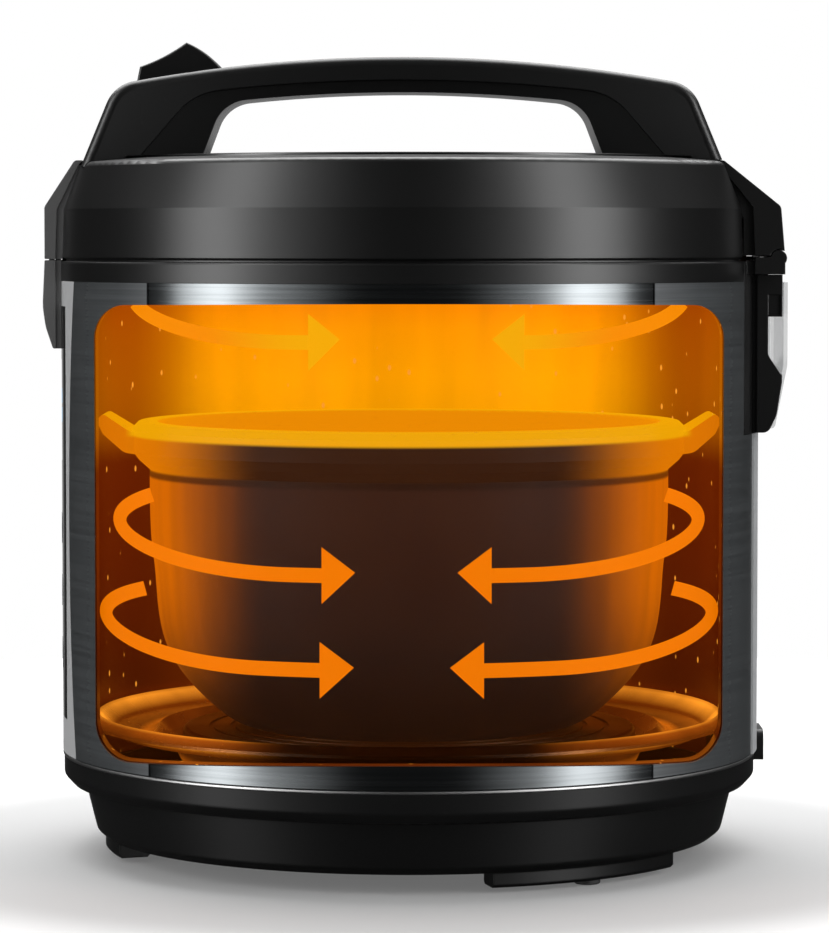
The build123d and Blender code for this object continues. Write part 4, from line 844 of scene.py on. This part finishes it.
def panel_mark(name, body, radius, material, shapes):
    """Marks printed on the curved front: each shape is (function, its sizes in millimetres)."""
    bpy.ops.object.select_all(action="DESELECT")
    bpy.ops.mesh.primitive_plane_add(size=1.0)
    mark = bpy.context.object
    mark.name = name
    bpy.ops.object.mode_set(mode="EDIT")
    bpy.ops.mesh.select_all(action="SELECT")
    bpy.ops.mesh.delete(type="VERT")
    for make, sizes in shapes:
        make(*(size * MM for size in sizes))
    bpy.ops.object.mode_set(mode="OBJECT")
    for vertex in mark.data.vertices:
        across, up = vertex.co.x, vertex.co.y
        vertex.co = (-math.sqrt(radius * radius - across * across), -across, up)
    solid = mark.modifiers.new("print thickness", "SOLIDIFY")
    solid.thickness = MARK_THICKNESS
    solid.offset = 0.0
    bpy.ops.object.modifier_apply(modifier=solid.name)
    bpy.ops.object.mode_set(mode="EDIT")
    bpy.ops.mesh.select_all(action="SELECT")
    bpy.ops.mesh.normals_make_consistent(inside=False)
    bpy.ops.object.mode_set(mode="OBJECT")
    mark.data.materials.append(material)
    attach(mark, body)


def digit(sign, across, up, half_width=3.1, half_height=6.4, thick=1.25, room=1.7):
    """The bars of one seven-segment digit, with room between them, in millimetres."""
    bars = []
    for label in DIGITS[sign]:
        side, level, way = SEGMENTS[label]
        width = 2.0 * half_width - room if way == "flat" else thick
        height = thick if way == "flat" else half_height - room
        bars.append((add_bar, (across + side * half_width, up + level * half_height, width, height)))
    return bars


def panel_marks():
    """Generic symbols on the keys, rings round them and a time on the display."""
    ink = plain("panel print", (0.62, 0.63, 0.64), 0.0, 0.5)
    light = heat_print("display light", (0.45, 0.72, 1.0), (0.45, 0.72, 1.0))
    # Shapes on each key: a function, then its place across and up and its sizes, in millimetres
    symbols = {
        "start": [(add_triangle, (0.4, 0.0, 2.3))],
        "stop": [(add_bar, (0.0, 0.0, 3.4, 3.4))],
        "menu": [(add_bar, (0.0, level, 4.4, 0.7)) for level in (-1.5, 0.0, 1.5)],
        "time": [(add_ring, (0.0, 0.0, 2.6, 0.55)),
                 (add_bar, (0.0, 0.65, 0.5, 1.3)),
                 (add_bar, (0.6, 0.0, 0.7, 0.5))],
        "plus": [(add_bar, (0.0, 0.0, 4.4, 0.8)),
                 (add_bar, (0.0, 1.3, 0.8, 1.8)),
                 (add_bar, (0.0, -1.3, 0.8, 1.8))],
        "minus": [(add_bar, (0.0, 0.0, 4.4, 0.8))],
    }
    rings = []
    for label, shapes in symbols.items():
        low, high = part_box(f"button_{label}")
        across = -(low[1] + high[1]) / 2 / MM
        up = (low[2] + high[2]) / 2 / MM
        placed = [(make, (across + sizes[0], up + sizes[1], *sizes[2:])) for make, sizes in shapes]
        panel_mark(f"mark_{label}", body_of(f"button_{label}"), body_radius + KEY_RISE, ink, placed)
        rings.append((add_ring, (across, up, 8.3, 0.35)))
    panel_mark("key_rings", body_of("front_fascia"), body_radius + RING_RISE, ink, rings)
    low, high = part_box("display_window")
    up = (low[2] + high[2]) / 2 / MM + 2.0
    shapes = digit("0", -15.3, up) + digit("0", -5.6, up) + digit("3", 5.6, up) + digit("0", 15.3, up)
    shapes += [(add_bar, (0.0, up + level, 1.3, 1.3)) for level in (-2.6, 2.6)]
    shapes += [(add_bar, (across, up - 13.0, 4.6, 0.9)) for across in (-14.0, -7.0, 0.0, 7.0)]
    panel_mark("display_digits", body_of("display_window"), -low[0] + DISPLAY_RISE, light, shapes)


# Stage, light and camera

FLOOR_RADIUS = 800.0 * MM
FLOOR_GAP = 0.2 * MM


def seen_ray(tree, light):
    """1 for what the camera sees, straight or through glass."""
    return number(tree, "MAXIMUM", light.outputs["Is Camera Ray"], light.outputs["Is Transmission Ray"])


def floor():
    """Pale floor that keeps the soft shadow and is white elsewhere; its glow is weaker close to the object,
    a painted shadow on top of the cast one.
    """
    bpy.ops.object.select_all(action="DESELECT")
    bpy.ops.mesh.primitive_circle_add(vertices=96, radius=FLOOR_RADIUS, fill_type="NGON",
                                      location=(0.0, 0.0, floor_height - FLOOR_GAP))
    plane = bpy.context.object
    plane.name = "pale_floor"
    material, tree, bsdf = shader("pale floor")
    bsdf.inputs["Roughness"].default_value = 0.9
    bsdf.inputs["Specular IOR Level"].default_value = 0.1
    light = add(tree, "ShaderNodeLightPath")
    place = add(tree, "ShaderNodeNewGeometry").outputs["Position"]
    away = add(tree, "ShaderNodeVectorMath", operation="LENGTH")
    plug(tree, place, away.inputs[0])
    # Painted shadow: the floor glows less within about a quarter metre of the object.
    near = span(tree, away.outputs["Value"], 205.0 * MM, 275.0 * MM, 0.13, 0.50)
    level = number(tree, "ADD", near, span(tree, away.outputs["Value"], 260.0 * MM, 600.0 * MM, 0.0, 0.42))
    bsdf.inputs["Base Color"].default_value = (0.60, 0.60, 0.60, 1.0)
    plug(tree, number(tree, "SUBTRACT", 1.0, light.outputs["Is Glossy Ray"]), bsdf.inputs["Alpha"])
    bsdf.inputs["Emission Color"].default_value = (1.0, 1.0, 1.0, 1.0)
    plug(tree, number(tree, "MULTIPLY", seen_ray(tree, light), level), bsdf.inputs["Emission Strength"])
    plane.data.materials.append(material)


# The surround in reflections. Each strip: where it starts, is brightest, falls to its wing and ends,
# in degrees round from the front, then the levels of its core and its wing
LEFT_STRIP = ((-86.0, -64.0, -46.0, -16.0), (3.3, 1.7))
RIGHT_STRIP = ((80.0, 58.0, 41.0, 16.0), (3.9, 1.4))
CEILING_LEVEL = 1.8
FRONT_LEVEL = 0.028
BACK_LEVEL = 0.5
DIFFUSE_LEVEL = 0.35


def strip_light(tree, turn, angles, levels):
    """A tall soft strip in the surround: a bright core and a fainter wing that fades out to the front."""
    outer, middle, inner, front = (math.radians(value) for value in angles)
    core = number(tree, "MULTIPLY", span(tree, turn, inner, middle), levels[0])
    wing = number(tree, "MULTIPLY", span(tree, turn, front, middle), levels[1])
    return number(tree, "MULTIPLY", span(tree, turn, outer, middle), number(tree, "ADD", wing, core))


def world():
    """Studio surround: white to the camera and through glass, with strips and a ceiling in reflections."""
    made = bpy.data.worlds.new("studio surround")
    made.use_nodes = True
    tree = made.node_tree
    back = tree.nodes["Background"]
    light = add(tree, "ShaderNodeLightPath")
    way = add(tree, "ShaderNodeSeparateXYZ")
    plug(tree, add(tree, "ShaderNodeTexCoord").outputs["Generated"], way.inputs[0])
    turn = number(tree, "ARCTAN2", way.outputs["X"], number(tree, "MULTIPLY", way.outputs["Y"], -1.0))
    left = strip_light(tree, turn, *LEFT_STRIP)
    right = strip_light(tree, turn, *RIGHT_STRIP)
    tall = number(tree, "MULTIPLY", span(tree, way.outputs["Z"], -0.6, -0.35),
                  span(tree, way.outputs["Z"], 0.70, 0.88, 1.0, 0.0))
    strips = number(tree, "MULTIPLY", number(tree, "ADD", left, right), tall)
    ceiling = number(tree, "MULTIPLY", span(tree, way.outputs["Y"], 0.05, 0.40),
                     span(tree, way.outputs["Z"], 0.40, 0.62))
    around = span(tree, way.outputs["Y"], 0.945, 0.985, FRONT_LEVEL, BACK_LEVEL)
    mirrored = number(tree, "ADD", around, strips)
    mirrored = number(tree, "ADD", mirrored, number(tree, "MULTIPLY", ceiling, CEILING_LEVEL))
    gloss = light.outputs["Is Glossy Ray"]
    dull = number(tree, "MULTIPLY", number(tree, "SUBTRACT", 1.0, gloss), DIFFUSE_LEVEL)
    level = number(tree, "ADD", number(tree, "MULTIPLY", gloss, mirrored), dull)
    plug(tree, number(tree, "MAXIMUM", level, seen_ray(tree, light)), back.inputs["Strength"])
    back.inputs["Color"].default_value = (1.0, 1.0, 1.0, 1.0)
    bpy.context.scene.world = made


def softbox(name, place, aim, width, height, power):
    """One rectangular softbox that points at a place."""
    lamp = bpy.data.lights.new(name, "AREA")
    lamp.shape = "RECTANGLE"
    lamp.size = width
    lamp.size_y = height
    lamp.energy = power
    holder = bpy.data.objects.new(name, lamp)
    holder.location = place
    holder.rotation_euler = (Vector(aim) - Vector(place)).to_track_quat("-Z", "Y").to_euler()
    bpy.context.collection.objects.link(holder)


def lights():
    """Two tall softboxes at the sides and a large one overhead."""
    middle = (0.0, 0.0, 0.20)
    softbox("left softbox", (-1.34, -0.56, 0.60), middle, 0.60, 1.4, 5.0)
    softbox("right softbox", (1.30, -0.74, 0.60), middle, 0.60, 1.4, 5.0)
    softbox("top softbox", (0.0, 0.60, 1.60), middle, 2.2, 1.5, 40.0)


# Camera: film width and focal length in millimetres, eye point and the point it looks at in metres
FILM_WIDTH = 36.0
FOCAL_LENGTH = 157.7
EYE = Vector((0.0, -1.711, 0.257))
AIM = Vector((0.0023, 0.0, 0.1605))


def camera():
    """Camera at the photograph's eye point."""
    lens = bpy.data.cameras.new("photo camera")
    lens.sensor_width = FILM_WIDTH
    lens.lens = FOCAL_LENGTH
    holder = bpy.data.objects.new("photo camera", lens)
    holder.location = EYE
    holder.rotation_euler = (AIM - EYE).to_track_quat("-Z", "Y").to_euler()
    bpy.context.collection.objects.link(holder)
    bpy.context.scene.camera = holder


dress_all()
heat_arrows()
base_trim_ring()
panel_marks()
floor()
world()
lights()
camera()
bpy.context.scene.view_settings.view_transform = "Standard"
